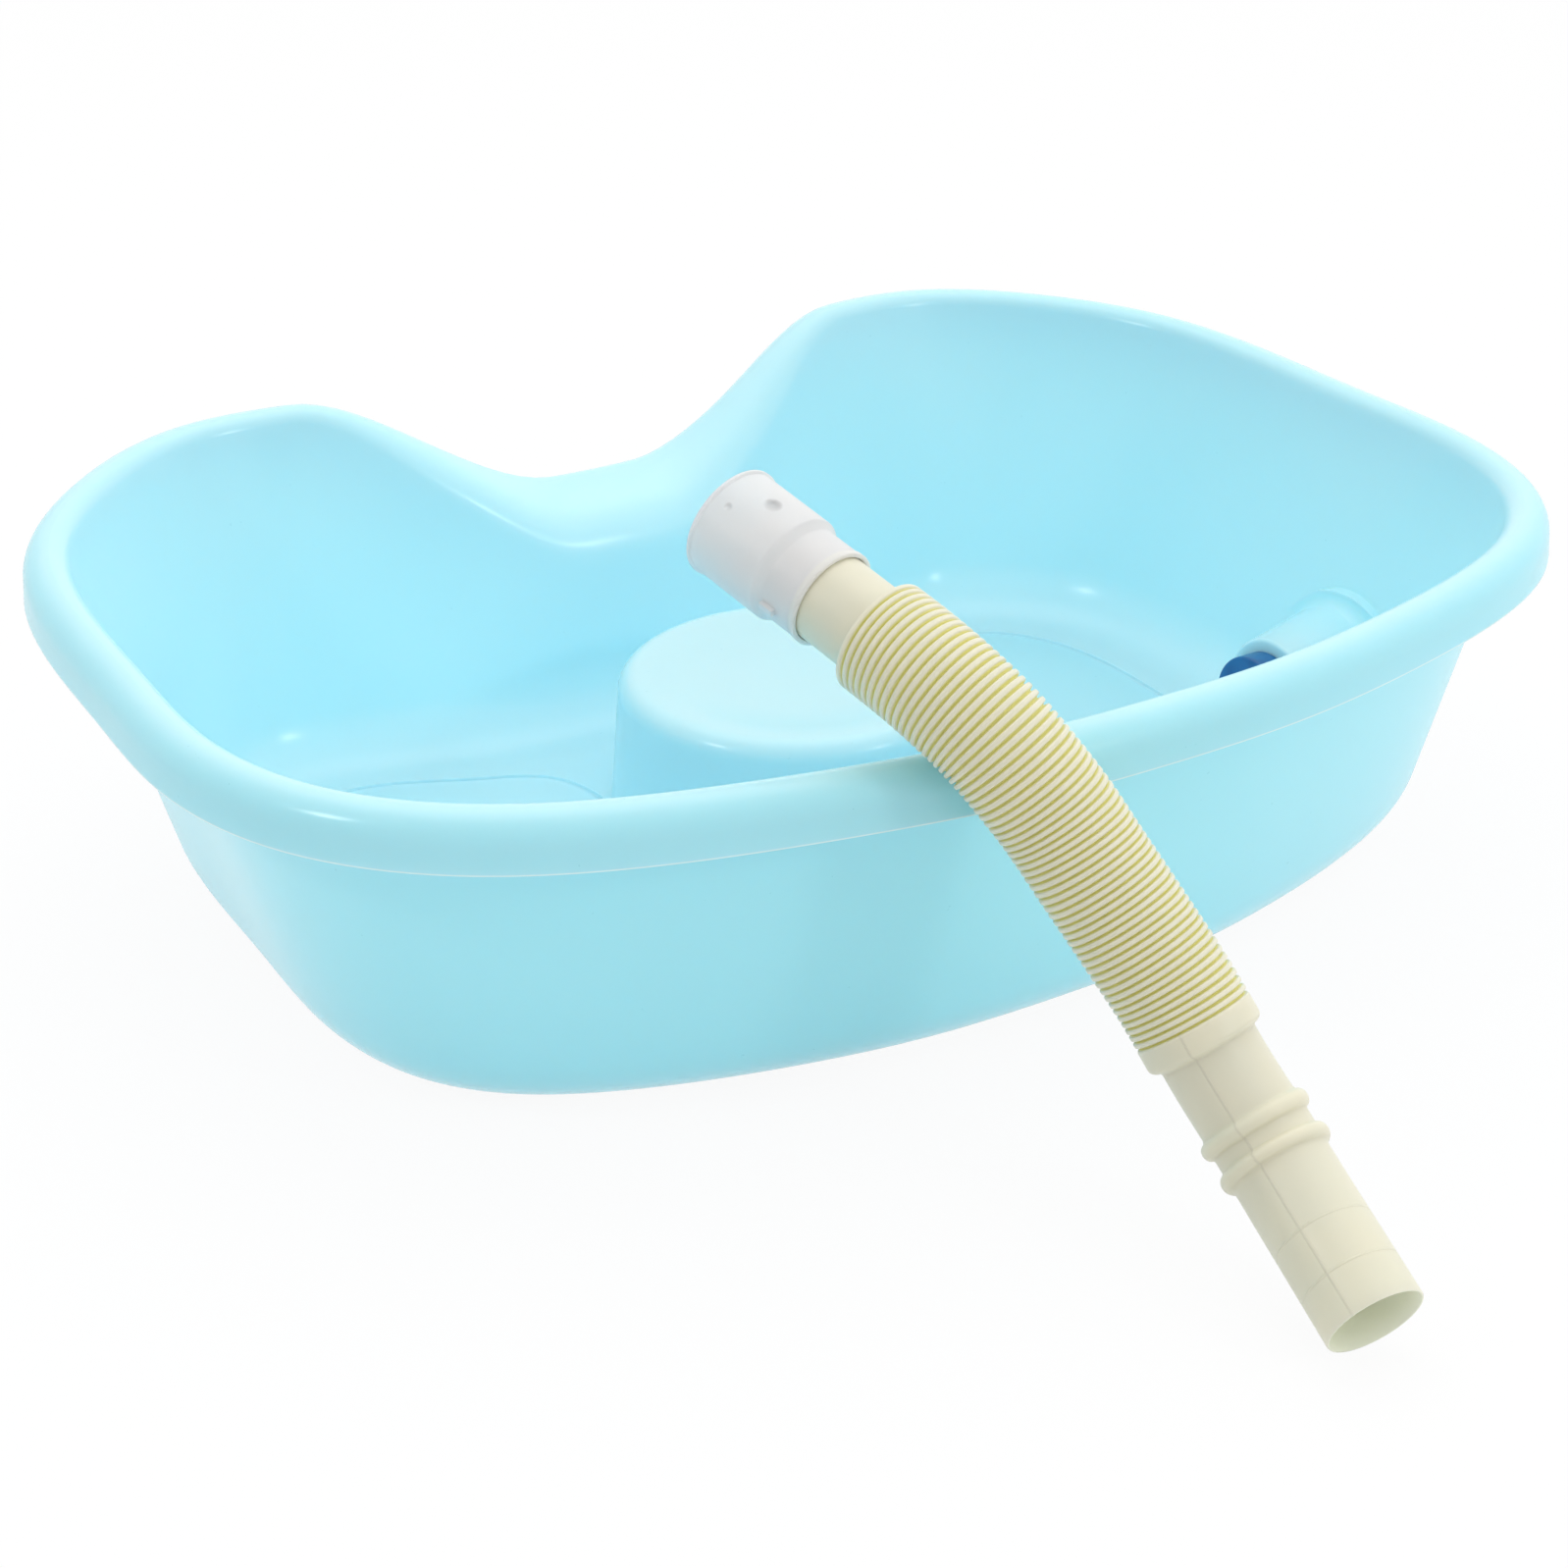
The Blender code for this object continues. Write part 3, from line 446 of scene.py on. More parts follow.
sleeve_line = sleeve_profile()
sleeve_along = (Vector(HOSE_ROUTE[2]) - Vector(HOSE_ROUTE[0])).normalized()
sleeve_side = Vector((1, 0, 0))
sleeve_side = (sleeve_side - sleeve_side.project(sleeve_along)).normalized()
sleeve_up = sleeve_along.cross(sleeve_side)


def sleeve_point(row, column):
    place, radius = sleeve_line[row]
    angle = column * 2 * math.pi / SLEEVE_SIDES
    out = math.cos(angle) * sleeve_side + math.sin(angle) * sleeve_up
    return Vector(HOSE_ROUTE[0]) + sleeve_along * float(place) + out * float(radius), place * MM


def tool(name, mesh):
    """A body without a look, for a boolean. It is removed again after use."""
    data = bpy.data.meshes.new(name)
    bmesh.ops.recalc_face_normals(mesh, faces=mesh.faces)
    mesh.to_mesh(data)
    mesh.free()
    made = bpy.data.objects.new(name, data)
    bpy.context.scene.collection.objects.link(made)
    return made


def boolean(piece, other, operation):
    step = piece.modifiers.new(other.name, "BOOLEAN")
    step.operation = operation
    step.object = other
    step.solver = "EXACT"


def applied(piece):
    """Puts what the modifiers make into the piece's own mesh."""
    graph = bpy.context.evaluated_depsgraph_get()
    data = bpy.data.meshes.new_from_object(piece.evaluated_get(graph))
    piece.modifiers.clear()
    piece.data = data


def moulded_key():
    mesh = bmesh.new()
    bmesh.ops.create_cube(mesh, size=1)
    bmesh.ops.scale(mesh, vec=(2 * KEY_HEIGHT, KEY_WIDTH, KEY_LENGTH), verts=mesh.verts)
    bmesh.ops.bevel(
        mesh,
        geom=mesh.edges[:],
        affect="EDGES",
        offset=KEY_ROUND,
        segments=2,
        profile=0.5,
        material=-1,
    )
    bmesh.ops.translate(mesh, vec=(COLLAR_RADIUS, 0, KEY_AT), verts=mesh.verts)
    bmesh.ops.rotate(mesh, verts=mesh.verts, cent=(0, 0, 0), matrix=Matrix.Rotation(KEY_TURN, 3, "Z"))
    turn = Matrix((sleeve_side, sleeve_up, sleeve_along)).transposed().to_4x4()
    mesh.transform(Matrix.Translation(HOSE_ROUTE[0]) @ turn)
    return tool("moulded_key", mesh)


def pit(tree, place, width, depth):
    """The depth at a place on the surface, 0 from half the width away."""
    here = node(tree, "TexCoord").outputs["Object"]
    off = node(tree, "VectorMath", {"operation": "DISTANCE"}, i0=here, i1=place).outputs["Value"]
    return ramp(tree, off, 0.0, width / 2, depth, 0.0)


def sleeve_plastic():
    """Milky and a little see-through, with a painted highlight that makes the collar's end paler and
    creamier, and two moulded pits that are also painted darker as painted shade.
    """
    material, tree, shader = plastic("sleeve milky", (0.96, 0.96, 0.95), 0.35)
    cloud = object_noise(tree, 90.0, 1.0)
    milk = mixed(tree, ramp(tree, cloud, 0.2, 0.8), (0.93, 0.93, 0.93, 1), (0.97, 0.96, 0.95, 1))
    # Painted highlight: a paler, creamier ring at the collar's end, where its edge catches the light.
    collar_highlight = ramp(tree, marked(tree, "along"), SLEEVE_LENGTH * MM - 3, SLEEVE_LENGTH * MM - 1.5)
    collar_lit = mixed(tree, collar_highlight, milk, (1.0, 0.99, 0.93, 1))
    tree.links.new(ramp(tree, cloud, 0.2, 0.8, 0.3, 0.42), shader.inputs["Roughness"])
    shader.inputs["Transmission Weight"].default_value = 0.25
    shader.inputs["IOR"].default_value = 1.4
    lit_within(shader, 0.3, (0.003, 0.003, 0.003))
    # Painted shade: besides their bump, the gate's pit and the dot are painted darker.
    pits = reckoned(tree, "MAXIMUM", pit(tree, *GATE), pit(tree, *DOT))
    pit_painted_shade = mixed(tree, reckoned(tree, "MULTIPLY", pits, 0.45), collar_lit, (0.45, 0.46, 0.46, 1))
    tree.links.new(pit_painted_shade, shader.inputs["Base Color"])
    bump = node(tree, "Bump", {"invert": True}, Strength=1.0, Distance=PIT_DEPTH, Height=pits)
    tree.links.new(bump.outputs["Normal"], shader.inputs["Normal"])
    return material


sleeve_mesh = wrapped_grid(len(sleeve_line) - 1, SLEEVE_SIDES, sleeve_point, ("along",))
sleeve = finished("adapter_sleeve", sleeve_mesh, sleeve_plastic(), crease=50)
key = moulded_key()
boolean(sleeve, key, "UNION")
applied(sleeve)
bpy.data.objects.remove(key, do_unlink=True)
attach(sleeve, "sleeve")
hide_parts("hose_sleeve")


# Basin
# One injection moulding in glossy sky-blue polypropylene: an oval bowl with a rolled rim, a neck
# notch with a broad sloping lip at the back, a round head rest in the middle, two grooved panels
# in the floor with foot ridges under them, and a drain housing with its spigot at the right end.
RIM_MIDDLE_Y = 0.0044
RIM_HALF_WIDTH = 0.2485
RIM_FRONT = 0.1881
RIM_BACK = 0.1769
RIM_HEIGHT = 0.1276
RIM_SAG = 0.0055
RIM_RISE = 0.0253
RIM_WIDTH = 0.0154
SKIRT_DEPTH = 0.0158
SKIRT_DRAFT = 0.0006
SHOULDER_RADIUS = 0.0090
RIM_INNER_RADIUS = 0.0062
NOTCH_DEPTH_SHARE = 0.924
RIM_OUTLINE = (
    (0.0, -1.0),
    (0.209, -0.988),
    (0.422, -0.938),
    (0.601, -0.871),
    (0.786, -0.752),
    (0.932, -0.546),
    (0.997, -0.282),
    (1.0, 0.0),
    (0.994, 0.301),
    (0.949, 0.597),
    (0.825, 0.841),
    (0.644, 1.0),
    (0.408, 0.988),
    (0.244, 0.940),
    (0.117, 0.931),
    (0.0, NOTCH_DEPTH_SHARE),
)
NOTCH_DROP = 0.0427
NOTCH_FLAT = 0.016
NOTCH_REACH = 0.115
LIP_WIDTH = 0.0380
LIP_SLOPE = math.radians(24)
LIP_RADIUS = 0.0220
WALL = 0.0022
WALL_INSET = 0.0397
FRONT_WALL_INSET = 0.0345
NOTCH_WALL_INSET = 0.0420
FRONT_REACH = 0.190
CORNER_FILL = 0.0037
BOTTOM_RADIUS = 0.0269
FOOT_HEIGHT = 0.0018
FLOOR_Z = FOOT_HEIGHT + WALL
DOME_RADIUS = 0.0623
DOME_TOP = 0.0600
DOME_DRAFT = 0.0035
DOME_EDGE_RADIUS = 0.0070
DOME_FOOT_RADIUS = 0.0050
HEAD_REST_GAP = 0.0121
DOME_FOOT_END = DOME_RADIUS + DOME_DRAFT + DOME_FOOT_RADIUS
NOTCH_FLOOR_END = RIM_MIDDLE_Y + NOTCH_DEPTH_SHARE * RIM_BACK - NOTCH_WALL_INSET - BOTTOM_RADIUS
DOME_Y = NOTCH_FLOOR_END - HEAD_REST_GAP - DOME_FOOT_END
DISH_DEPTH = 0.0025
# Rings of the head rest's dish, as shares of its radius, and the share over which it sinks.
DISH_RINGS = (0.96, 0.88, 0.8, 0.65, 0.5, 0.35, 0.2, 0.0)
DISH_EASE = 0.45
BASIN_STATIONS = 240
# Below this height the basin has no skirt, not even at the notch.
UNDER_SKIRT = RIM_HEIGHT - NOTCH_DROP - SKIRT_DEPTH


def ease(share):
    share = min(max(share, 0.0), 1.0)
    return share * share * (3 - 2 * share)


def even_outline(knots, count):
    """Evenly spaced points on the closed curve through the knots, and the outward normals there."""
    dense, lengths = cubic_through(knots, closed=True)
    places = np.arange(count) * lengths[-1] / count
    points = np.column_stack([np.interp(places, lengths, dense[:, axis]) for axis in (0, 1)])
    along = np.roll(points, -1, axis=0) - np.roll(points, 1, axis=0)
    along /= np.linalg.norm(along, axis=1)[:, None]
    return points, np.column_stack([along[:, 1], -along[:, 0]])


def rim_knots():
    right_half = [
        (across * RIM_HALF_WIDTH, RIM_MIDDLE_Y + depth * (RIM_FRONT if depth < 0 else RIM_BACK))
        for across, depth in RIM_OUTLINE
    ]
    return right_half + [(-x, y) for x, y in right_half[-2:0:-1]]


def notch_share(x, y):
    """1 in the middle of the neck notch, 0 on the rest of the rim."""
    if y < RIM_MIDDLE_Y:
        return 0.0
    return 1 - ease((abs(x) - NOTCH_FLAT) / (NOTCH_REACH - NOTCH_FLAT))


def inward_arc(centre, radius, start, end, count):
    """Points (inset, height) on a round; angle 0 points up and a quarter turn points into the bowl."""
    angles = np.linspace(start, end, count)
    return [(centre[0] + radius * math.sin(a), centre[1] + radius * math.cos(a)) for a in angles]


def sideways_share(x, y):
    """1 at the two ends of the basin, 0 in the middle of its front and back."""
    return abs(x) / math.hypot(x, y - RIM_MIDDLE_Y)


def wall_inset(x, y):
    """How far the wall's foot lies in from the rim: less along the front, more at the notch."""
    inset = WALL_INSET
    if y < RIM_MIDDLE_Y:
        sideways = sideways_share(x, y)
        corner = 4 * sideways**2 * (1 - sideways**2)
        inset = FRONT_WALL_INSET + (WALL_INSET - FRONT_WALL_INSET) * ease(abs(x) / FRONT_REACH)
        inset -= CORNER_FILL * corner
    return inset + (NOTCH_WALL_INSET - inset) * notch_share(x, y)


def wall_parts(x, y):
    """The rim's height, its inner round's centre, radius and slope, and the lean of the wall below."""
    notch = notch_share(x, y)
    height = RIM_HEIGHT + RIM_RISE * (y - RIM_MIDDLE_Y) - NOTCH_DROP * notch
    height -= RIM_SAG * sideways_share(x, y) ** 4
    width = RIM_WIDTH + (LIP_WIDTH - RIM_WIDTH) * notch
    inner = RIM_INNER_RADIUS + (LIP_RADIUS - RIM_INNER_RADIUS) * math.sqrt(notch)
    inner = min(inner, width - SHOULDER_RADIUS)
    slope = LIP_SLOPE * notch
    start = width - inner + inner * math.sin(slope)
    start_height = height - (start - SHOULDER_RADIUS) * math.tan(slope)
    centre = (width - inner, start_height - inner * math.cos(slope))
    draft = math.atan2(wall_inset(x, y) - width, centre[1] - FLOOR_Z - BOTTOM_RADIUS)
    return height, centre, inner, slope, draft


def bottom_round(x, y, draft, growth, count):
    centre = (wall_inset(x, y) + BOTTOM_RADIUS, FLOOR_Z + BOTTOM_RADIUS)
    return inward_arc(centre, BOTTOM_RADIUS + growth, -math.pi / 2 - draft, -math.pi, count)


def basin_section(x, y):
    """One cut through skirt, rim, wall and bottom round, as (inset from the rim's edge, height)."""
    height, centre, inner, slope, draft = wall_parts(x, y)
    skirt_top = height - SHOULDER_RADIUS
    skirt_drop = SKIRT_DEPTH - SHOULDER_RADIUS
    skirt = [(-SKIRT_DRAFT * share, skirt_top - skirt_drop * share) for share in (1, 0.9, 0.5)]
    shoulder = inward_arc((SHOULDER_RADIUS, skirt_top), SHOULDER_RADIUS, -math.pi / 2, 0, 9)
    edge = inward_arc(centre, inner, slope, math.pi / 2 - draft, 9)
    bottom = bottom_round(x, y, draft, 0, 14)
    first, last = np.array(edge[-1]), np.array(bottom[0])
    wall = [tuple(first + (last - first) * share) for share in np.linspace(0, 1, 14)[1:-1]]
    return skirt + shoulder + edge + wall + bottom


def dome_section():
    """The head rest from its foot to the middle of its dish, as (radius, height)."""
    lean = math.atan2(DOME_DRAFT, DOME_TOP - FLOOR_Z)
    foot_centre = (DOME_FOOT_END, FLOOR_Z + DOME_FOOT_RADIUS)
    foot = inward_arc(foot_centre, DOME_FOOT_RADIUS, -math.pi, -math.pi / 2 - lean, 7)
    edge_centre = (DOME_RADIUS - DOME_EDGE_RADIUS, DOME_TOP - DOME_EDGE_RADIUS)
    edge = inward_arc(edge_centre, DOME_EDGE_RADIUS, math.pi / 2 - lean, 0, 11)
    first, last = np.array(foot[-1]), np.array(edge[0])
    side = [tuple(first + (last - first) * share) for share in (0.25, 0.5, 0.75)]
    dish = [
        (share * edge_centre[0], DOME_TOP - DISH_DEPTH * ease((1 - share) / DISH_EASE))
        for share in DISH_RINGS
    ]
    return foot + side + edge + dish


rim_points, rim_normals = even_outline(rim_knots(), BASIN_STATIONS)
basin_sections = [basin_section(x, y) for x, y in rim_points]
wall_rows = len(basin_sections[0])
dome_line = dome_section()


def basin_point(row, column):
    column %= BASIN_STATIONS
    if row < wall_rows:
        inset, height = basin_sections[column][row]
        x, y = rim_points[column] - rim_normals[column] * inset
        return Vector((x, y, height)), float(row == 0)
    radius, height = dome_line[row - wall_rows]
    angle = -math.pi / 2 + column * 2 * math.pi / BASIN_STATIONS
    return Vector((math.cos(angle) * radius, DOME_Y + math.sin(angle) * radius, height)), 0.0


def basin_plastic():
    """Glossy, with painted shade that makes the outward-facing outside a deeper blue, a pale line along
    the skirt's edge that is partly a painted highlight, and a few dust specks.
    """
    material, tree, shader = plastic("basin blue", (0.50, 0.88, 1.0), 0.23)
    cloud = object_noise(tree, 7.0, 1.0)
    blue = mixed(tree, ramp(tree, cloud, 0.0, 1.0), (0.48, 0.865, 1.0, 1), (0.52, 0.885, 1.0, 1))
    # Painted shade: faces that look outward, the skirt and the outer wall, get a deeper, darker blue.
    outer = ramp(tree, marked(tree, "outward_painted_shade"), 0.0, 0.8)
    outward_shaded = mixed(tree, outer, blue, (0.41, 0.845, 1.0, 1))
    # Partly the pale moulding flash, partly a painted highlight: a thin pale line along the skirt's
    # lower edge.
    edge = ramp(tree, marked(tree, "skirt_edge"), 0.2, 0.9, 0.0, 0.8)
    paled = mixed(tree, edge, outward_shaded, (0.80, 0.98, 1.0, 1))
    dusty = reckoned(tree, "MULTIPLY", ramp(tree, object_noise(tree, 420.0, 2.0), 0.76, 0.8), 0.25)
    tree.links.new(mixed(tree, dusty, paled, (0.20, 0.55, 0.66, 1)), shader.inputs["Base Color"])
    rubbed = ramp(tree, object_noise(tree, 5.0, 1.0), 0.0, 1.0, 0.19, 0.265)
    tree.links.new(rubbed, shader.inputs["Roughness"])
    peel = node(tree, "Bump", Strength=0.06, Distance=0.0002, Height=object_noise(tree, 500.0, 1.0))
    tree.links.new(peel.outputs["Normal"], shader.inputs["Normal"])
    lit_within(shader, 0.5, (0.007, 0.010, 0.012))
    return material


basin_rows = wall_rows + len(dome_line) - 1
basin_mesh = wrapped_grid(basin_rows, BASIN_STATIONS, basin_point, ("skirt_edge",))
basin = finished("basin_shell", basin_mesh, basin_plastic())
shell = basin.modifiers.new("Wall", "SOLIDIFY")
shell.thickness = WALL
shell.offset = -1
shell.use_even_offset = True

# Floor grooves and foot ridges
# Each panel of the floor is outlined by a fine half-round groove, with a flat-bottomed ridge
# under it that the basin stands on; both stop where they meet the head rest.
PANEL_INNER = 0.0550
PANEL_OUTER = 0.1725
PANEL_FRONT = 0.1100
PANEL_BACK = 0.1120
RIDGE_WIDTH = 0.0034
GROOVE_WIDTH = 0.0026
PANEL_POINTS = 160
COLUMN_HEIGHT = 0.2
PANEL_OUTLINE = (
    (0.0, -0.80),
    (0.0, -0.27),
    (0.0, 0.27),
    (0.0, 0.60),
    (0.05, 0.73),
    (0.26, 0.86),
    (0.49, 0.97),
    (0.64, 1.0),
    (0.79, 0.96),
    (0.93, 0.81),
    (1.0, 0.58),
    (1.0, 0.1),
    (1.0, -0.38),
    (0.93, -0.70),
    (0.72, -0.90),
    (0.42, -0.98),
    (0.16, -1.0),
    (0.03, -0.94),
)


def panel_points(side, margin, count):
    knots = []
    for across, depth in reversed(PANEL_OUTLINE):
        x = PANEL_INNER + (PANEL_OUTER - PANEL_INNER) * across
        knots.append((x, RIM_MIDDLE_Y + depth * (PANEL_FRONT if depth < 0 else PANEL_BACK)))
    points, normals = even_outline(knots, count)
    return [(side * x, y) for x, y in points + normals * margin]


def strip(side, section):
    """A closed bar along the panel's outline, from a section of (margin, height) points."""
    rings = [panel_points(side, margin, PANEL_POINTS) for margin, _ in section]

    def spot(row, column):
        x, y = rings[row % len(section)][column % PANEL_POINTS]
        return (Vector((x, y, section[row % len(section)][1])),)

    return wrapped_grid(len(section), PANEL_POINTS, spot)


def column_under_dome():
    """What keeps the grooves and ridges off the head rest."""
    mesh = bmesh.new()
    bmesh.ops.create_cone(
        mesh,
        cap_ends=True,
        segments=96,
        radius1=DOME_FOOT_END,
        radius2=DOME_FOOT_END,
        depth=COLUMN_HEIGHT,
    )
    bmesh.ops.translate(mesh, vec=(0, DOME_Y, 0), verts=mesh.verts)
    return tool("dome_column", mesh)


dome_column = column_under_dome()
tools = [dome_column]
half_ridge, ridge_top = RIDGE_WIDTH / 2, FOOT_HEIGHT + WALL / 2
ridge_section = (
    (-half_ridge, 0.0),
    (half_ridge, 0.0),
    (half_ridge, ridge_top),
    (-half_ridge, ridge_top),
)
groove_section = arc((0.0, FLOOR_Z), GROOVE_WIDTH / 2, 0, 2 * math.pi, 9)[:-1]
floor_bars = (("ridge", ridge_section, "UNION"), ("groove", groove_section, "DIFFERENCE"))
for side in (1, -1):
    for name, section, operation in floor_bars:
        bar = tool(name, strip(side, section))
        boolean(bar, dome_column, "DIFFERENCE")
        boolean(basin, bar, operation)
        tools.append(bar)

# Drain housing and spigot
# A round housing stands into the bowl at the right end, tapered and flared into the wall. In its
# hollow the spigot runs out from the face, under the rim, with the drain bore right through it.
DRAIN_Y = -0.0298
DRAIN_Z = 0.0225
HOUSING_FACE_INSET = 0.0700
HOUSING_FACE_X = RIM_HALF_WIDTH - HOUSING_FACE_INSET
HOUSING_RADIUS = 0.0228
HOUSING_ROOT_RADIUS = 0.0280
HOUSING_EDGE_RADIUS = 0.0015
HOUSING_FLARE_RADIUS = 0.0060
HOUSING_FLARE_INSET = 0.0420
HOUSING_FLARE_X = RIM_HALF_WIDTH - HOUSING_FLARE_INSET
RECESS_RISE = 0.0016
RECESS_RADIUS = HOUSING_RADIUS - WALL - RECESS_RISE
SPIGOT_END_INSET = 0.0435
SPIGOT_END_X = RIM_HALF_WIDTH - SPIGOT_END_INSET
SPIGOT_RADIUS = 0.0154
BORE_RADIUS = 0.0133
CUT_OVERRUN = 0.012
DRAIN_SIDES = 96


def turned(points, start=0.0):
    """A body turned from (radius, height) points, with its height laid along the drain's axis."""
    mesh = bmesh.new()
    verts = [mesh.verts.new((radius, 0, height)) for radius, height in points]
    edges = [mesh.edges.new(pair) for pair in zip(verts, verts[1:])]
    turned_by = Matrix.Rotation(start, 3, "Z")
    laid_down = Matrix.Rotation(math.pi / 2, 3, "Y")
    bmesh.ops.rotate(mesh, verts=verts, cent=(0, 0, 0), matrix=turned_by)
    bmesh.ops.spin(
        mesh,
        geom=verts + edges,
        cent=(0, 0, 0),
        axis=(0, 0, 1),
        angle=2 * math.pi,
        steps=DRAIN_SIDES,
        use_merge=True,
    )
    bmesh.ops.remove_doubles(mesh, verts=mesh.verts, dist=MERGE)
    bmesh.ops.rotate(mesh, verts=mesh.verts, cent=(0, 0, 0), matrix=laid_down)
    bmesh.ops.translate(mesh, verts=mesh.verts, vec=(0, DRAIN_Y, DRAIN_Z))
    bmesh.ops.recalc_face_normals(mesh, faces=mesh.faces)
    return mesh


def envelope_section(x, y):
    """One cut through the middle of the wall, below the skirt, to which the housing is trimmed."""
    draft = wall_parts(x, y)[-1]
    bottom = bottom_round(x, y, draft, WALL / 2, 10)
    start, start_height = bottom[0]
    return [(start - (UNDER_SKIRT - start_height) * math.tan(draft), UNDER_SKIRT)] + bottom


envelope_sections = [envelope_section(x, y) for x, y in rim_points]


def envelope_point(row, column):
    column %= BASIN_STATIONS
    rows = len(envelope_sections[0])
    if row in (0, rows + 1):
        return (Vector((0, 0, envelope_sections[0][0 if row == 0 else -1][1])),)
    inset, height = envelope_sections[column][row - 1]
    x, y = rim_points[column] - rim_normals[column] * inset
    return (Vector((x, y, height)),)


edge_centre = (HOUSING_RADIUS - HOUSING_EDGE_RADIUS, HOUSING_FACE_X + HOUSING_EDGE_RADIUS)
flare_centre = (HOUSING_ROOT_RADIUS + HOUSING_FLARE_RADIUS, HOUSING_FLARE_X)
flare = arc(flare_centre, HOUSING_FLARE_RADIUS, math.pi / 2, math.pi, 12)
housing_edge = arc(edge_centre, HOUSING_EDGE_RADIUS, 0, -math.pi / 2, 6)
housing_line = [(0, RIM_HALF_WIDTH), (flare[0][0], RIM_HALF_WIDTH)] + flare
housing_line += housing_edge + [(0, HOUSING_FACE_X)]
envelope_rows = len(envelope_sections[0]) + 1
envelope = tool("envelope", wrapped_grid(envelope_rows, BASIN_STATIONS, envelope_point))
housing = tool("housing", turned(housing_line))
boolean(housing, envelope, "INTERSECT")
facet = 2 * math.pi / DRAIN_SIDES
recess_floor = HOUSING_FACE_X + WALL
outside = RIM_HALF_WIDTH + CUT_OVERRUN
# Name, radius, start, end, rise, share of a facet that it is turned by, and operation.
bars = (
    ("recess", RECESS_RADIUS, recess_floor, outside, RECESS_RISE, 0.5, "DIFFERENCE"),
    ("spigot", SPIGOT_RADIUS, recess_floor - WALL / 2, SPIGOT_END_X, 0, 0.25, "UNION"),
    ("bore", BORE_RADIUS, HOUSING_FACE_X - CUT_OVERRUN, outside, 0, 0.75, "DIFFERENCE"),
)
boolean(basin, housing, "UNION")
tools += [envelope, housing]
for name, radius, start, end, rise, share, operation in bars:
    bar_line = [(0, end), (radius, end), (radius, start), (0, start)]
    bar = tool(name, turned(bar_line, start=share * facet))
    bar.location.z = rise
    boolean(basin, bar, operation)
    tools.append(bar)
applied(basin)
# The skirt edge's painted highlight is kept off the points below the skirt.
for vert, mark in zip(basin.data.vertices, basin.data.attributes["skirt_edge"].data):
    if vert.co.z < UNDER_SKIRT:
        mark.value = 0.0
# Mask for the painted shade on the outside: how far each outer point faces outward.
outward_painted_shade = basin.data.attributes.new("outward_painted_shade", "FLOAT", "POINT")
for vert, mark in zip(basin.data.vertices, outward_painted_shade.data):
    outward = Vector((vert.co.x, vert.co.y - RIM_MIDDLE_Y, 0))
    if outward.length > 2 * DOME_RADIUS:
        mark.value = max(0.0, vert.normal.dot(outward.normalized()))
for helper in tools:
    bpy.data.objects.remove(helper, do_unlink=True)
basin.data.shade_smooth()
basin.data.set_sharp_from_angle(angle=math.radians(35))
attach(basin, "basin")
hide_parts("basin")


# Stopper
# A push-in stopper in dark blue plastic: a thick round grip with a shallow dished face, on a
# tapered stem that plugs the drain bore, hollow from behind. It is pulled out into the bowl.
PLUG_FLANGE_RADIUS = 0.0180
PLUG_FLANGE = 0.0095
PLUG_EDGE_RADIUS = 0.0010
PLUG_STEM = 0.0120
PLUG_TAPER = 0.0007
PLUG_WALL = 0.0016
PLUG_FIT = 0.0003
PLUG_BREAK = 0.0003
HOLLOW_BREAK = 0.0004
# The grip's shallow dish, as (radius, depth).
DISHED_FACE = ((0.0125, 0.0), (0.0120, 0.0003), (0.0060, 0.0003), (0, 0.0004))


def plug_profile():
    """(radius, place along the drain's axis) from the hollow round the stem and grip to the face."""
    top = HOUSING_FACE_X - PLUG_FIT
    face = top - PLUG_FLANGE
    end = top + PLUG_STEM
    root = BORE_RADIUS - PLUG_FIT
    tip = root - PLUG_TAPER
    hollow = root - PLUG_WALL
    depth = face + PLUG_WALL
    grip = PLUG_FLANGE_RADIUS
    line = [(0, depth), (hollow - HOLLOW_BREAK, depth), (hollow, depth + HOLLOW_BREAK)]
    line += [(tip - PLUG_WALL, end)]
    line += [(tip - PLUG_BREAK, end), (tip, end - PLUG_BREAK), (root, top)]
    line += [(grip - PLUG_BREAK, top), (grip, top - PLUG_BREAK)]
    edge = (grip - PLUG_EDGE_RADIUS, face + PLUG_EDGE_RADIUS)
    line += arc(edge, PLUG_EDGE_RADIUS, 0, -math.pi / 2, 7)
    line += [(radius, face + drop) for radius, drop in DISHED_FACE]
    return line


def plug_plastic():
    material, tree, shader = plastic("plug blue", (0.0, 0.13, 0.36), 0.3)
    cloud = object_noise(tree, 150.0)
    blue = mixed(tree, ramp(tree, cloud, 0.3, 0.7), (0.0, 0.10, 0.29, 1), (0.0, 0.13, 0.35, 1))
    tree.links.new(blue, shader.inputs["Base Color"])
    tree.links.new(ramp(tree, cloud, 0.2, 0.8, 0.29, 0.4), shader.inputs["Roughness"])
    bump = node(tree, "Bump", Strength=0.15, Distance=0.0002, Height=object_noise(tree, 700.0, 2.0))
    tree.links.new(bump.outputs["Normal"], shader.inputs["Normal"])
    return material


plug = finished("stopper", turned(plug_profile()), plug_plastic())
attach(plug, "plug")
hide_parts("drain_plug")


# Studio
# A white table top that runs back into a white surround, brightest above and to the right, with a
# broad soft lamp overhead and two small lamps whose reflections show on the glossy wall.
FLOOR_SIZE = 8
FLOOR_DROP = 0.0002
FLOOR_GLOW = 0.93
SKY_SIDE = (0.50, 0.22, 0.84)


def looked_at(tree):
    """1 where a ray comes from the camera, from a glossy surface or through a clear one."""
    path = node(tree, "LightPath")
    seen = reckoned(tree, "MAXIMUM", path.outputs["Is Camera Ray"], path.outputs["Is Glossy Ray"])
    return reckoned(tree, "MAXIMUM", seen, path.outputs["Is Transmission Ray"])


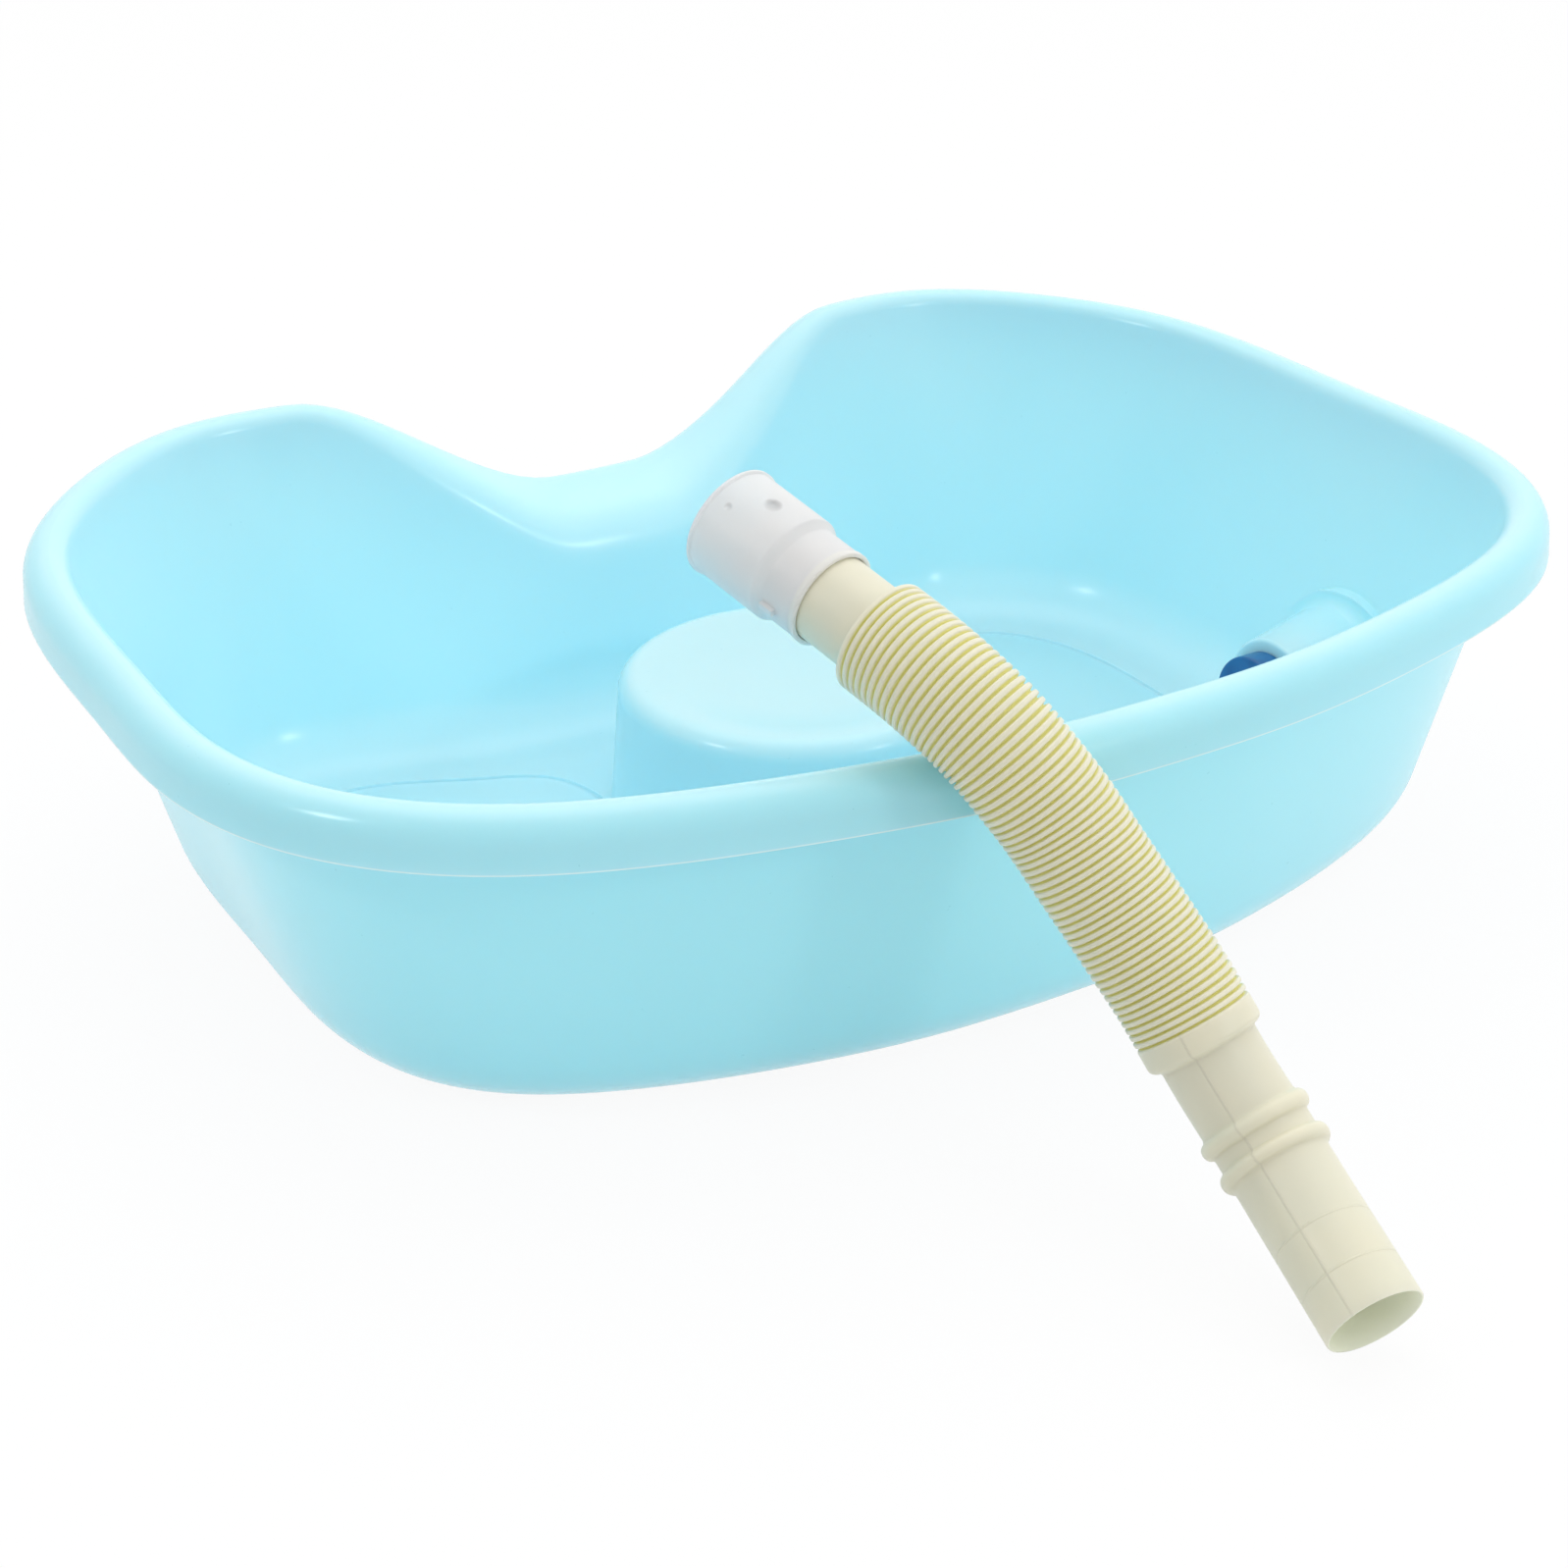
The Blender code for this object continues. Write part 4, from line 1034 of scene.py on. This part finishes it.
def white_floor():
    """White paper: its own soft shading under a bright, even white, which leaves a faint shadow."""
    material, tree, shader = plastic("studio white", (0.92, 0.92, 0.92), 0.8)
    shader.inputs["Specular IOR Level"].default_value = 0.0
    glow = node(tree, "Emission", Color=(1, 1, 1, 1), Strength=1.0).outputs[0]
    share = reckoned(tree, "MULTIPLY", looked_at(tree), FLOOR_GLOW)
    mix = node(tree, "MixShader", Fac=share, i1=shader.outputs[0], i2=glow)
    tree.links.new(mix.outputs[0], tree.nodes["Material Output"].inputs["Surface"])
    return material


floor_mesh = bmesh.new()
bmesh.ops.create_grid(floor_mesh, x_segments=1, y_segments=1, size=FLOOR_SIZE)
bmesh.ops.translate(floor_mesh, verts=floor_mesh.verts, vec=(0, 0, -FLOOR_DROP))
floor = finished("table_top", floor_mesh, white_floor())

world = bpy.data.worlds.new("studio")
bpy.context.scene.world = world
world.use_nodes = True
sky = world.node_tree
background = sky.nodes["Background"]
direction = node(sky, "TexCoord").outputs["Generated"]
toward = node(sky, "VectorMath", {"operation": "DOT_PRODUCT"}, i0=direction, i1=SKY_SIDE)
soft_light = ramp(sky, toward.outputs["Value"], -0.5, 0.95, 0.12, 1.2)
strength = node(sky, "Mix", {"data_type": "FLOAT"}, i0=looked_at(sky), i2=soft_light, i3=1.0).outputs[0]
background.inputs["Color"].default_value = (1, 1, 1, 1)
sky.links.new(strength, background.inputs["Strength"])


def lamp(name, place, target, size, power):
    data = bpy.data.lights.new(name, "AREA")
    data.size = size
    data.energy = power
    made = bpy.data.objects.new(name, data)
    bpy.context.scene.collection.objects.link(made)
    made.location = place
    made.rotation_euler = (Vector(target) - Vector(place)).to_track_quat("-Z", "Y").to_euler()


lamp("overhead", (0.2, 0.5, 1.9), (0, 0, 0), 1.6, 6)
lamp("front lamp", (0.58, -1.48, 0.86), (0, 0, 0.05), 0.2, 2.5)
lamp("left lamp", (-1.4, 0.0, 1.13), (0, 0, 0.05), 0.2, 2.5)

bpy.context.scene.view_settings.view_transform = "Standard"
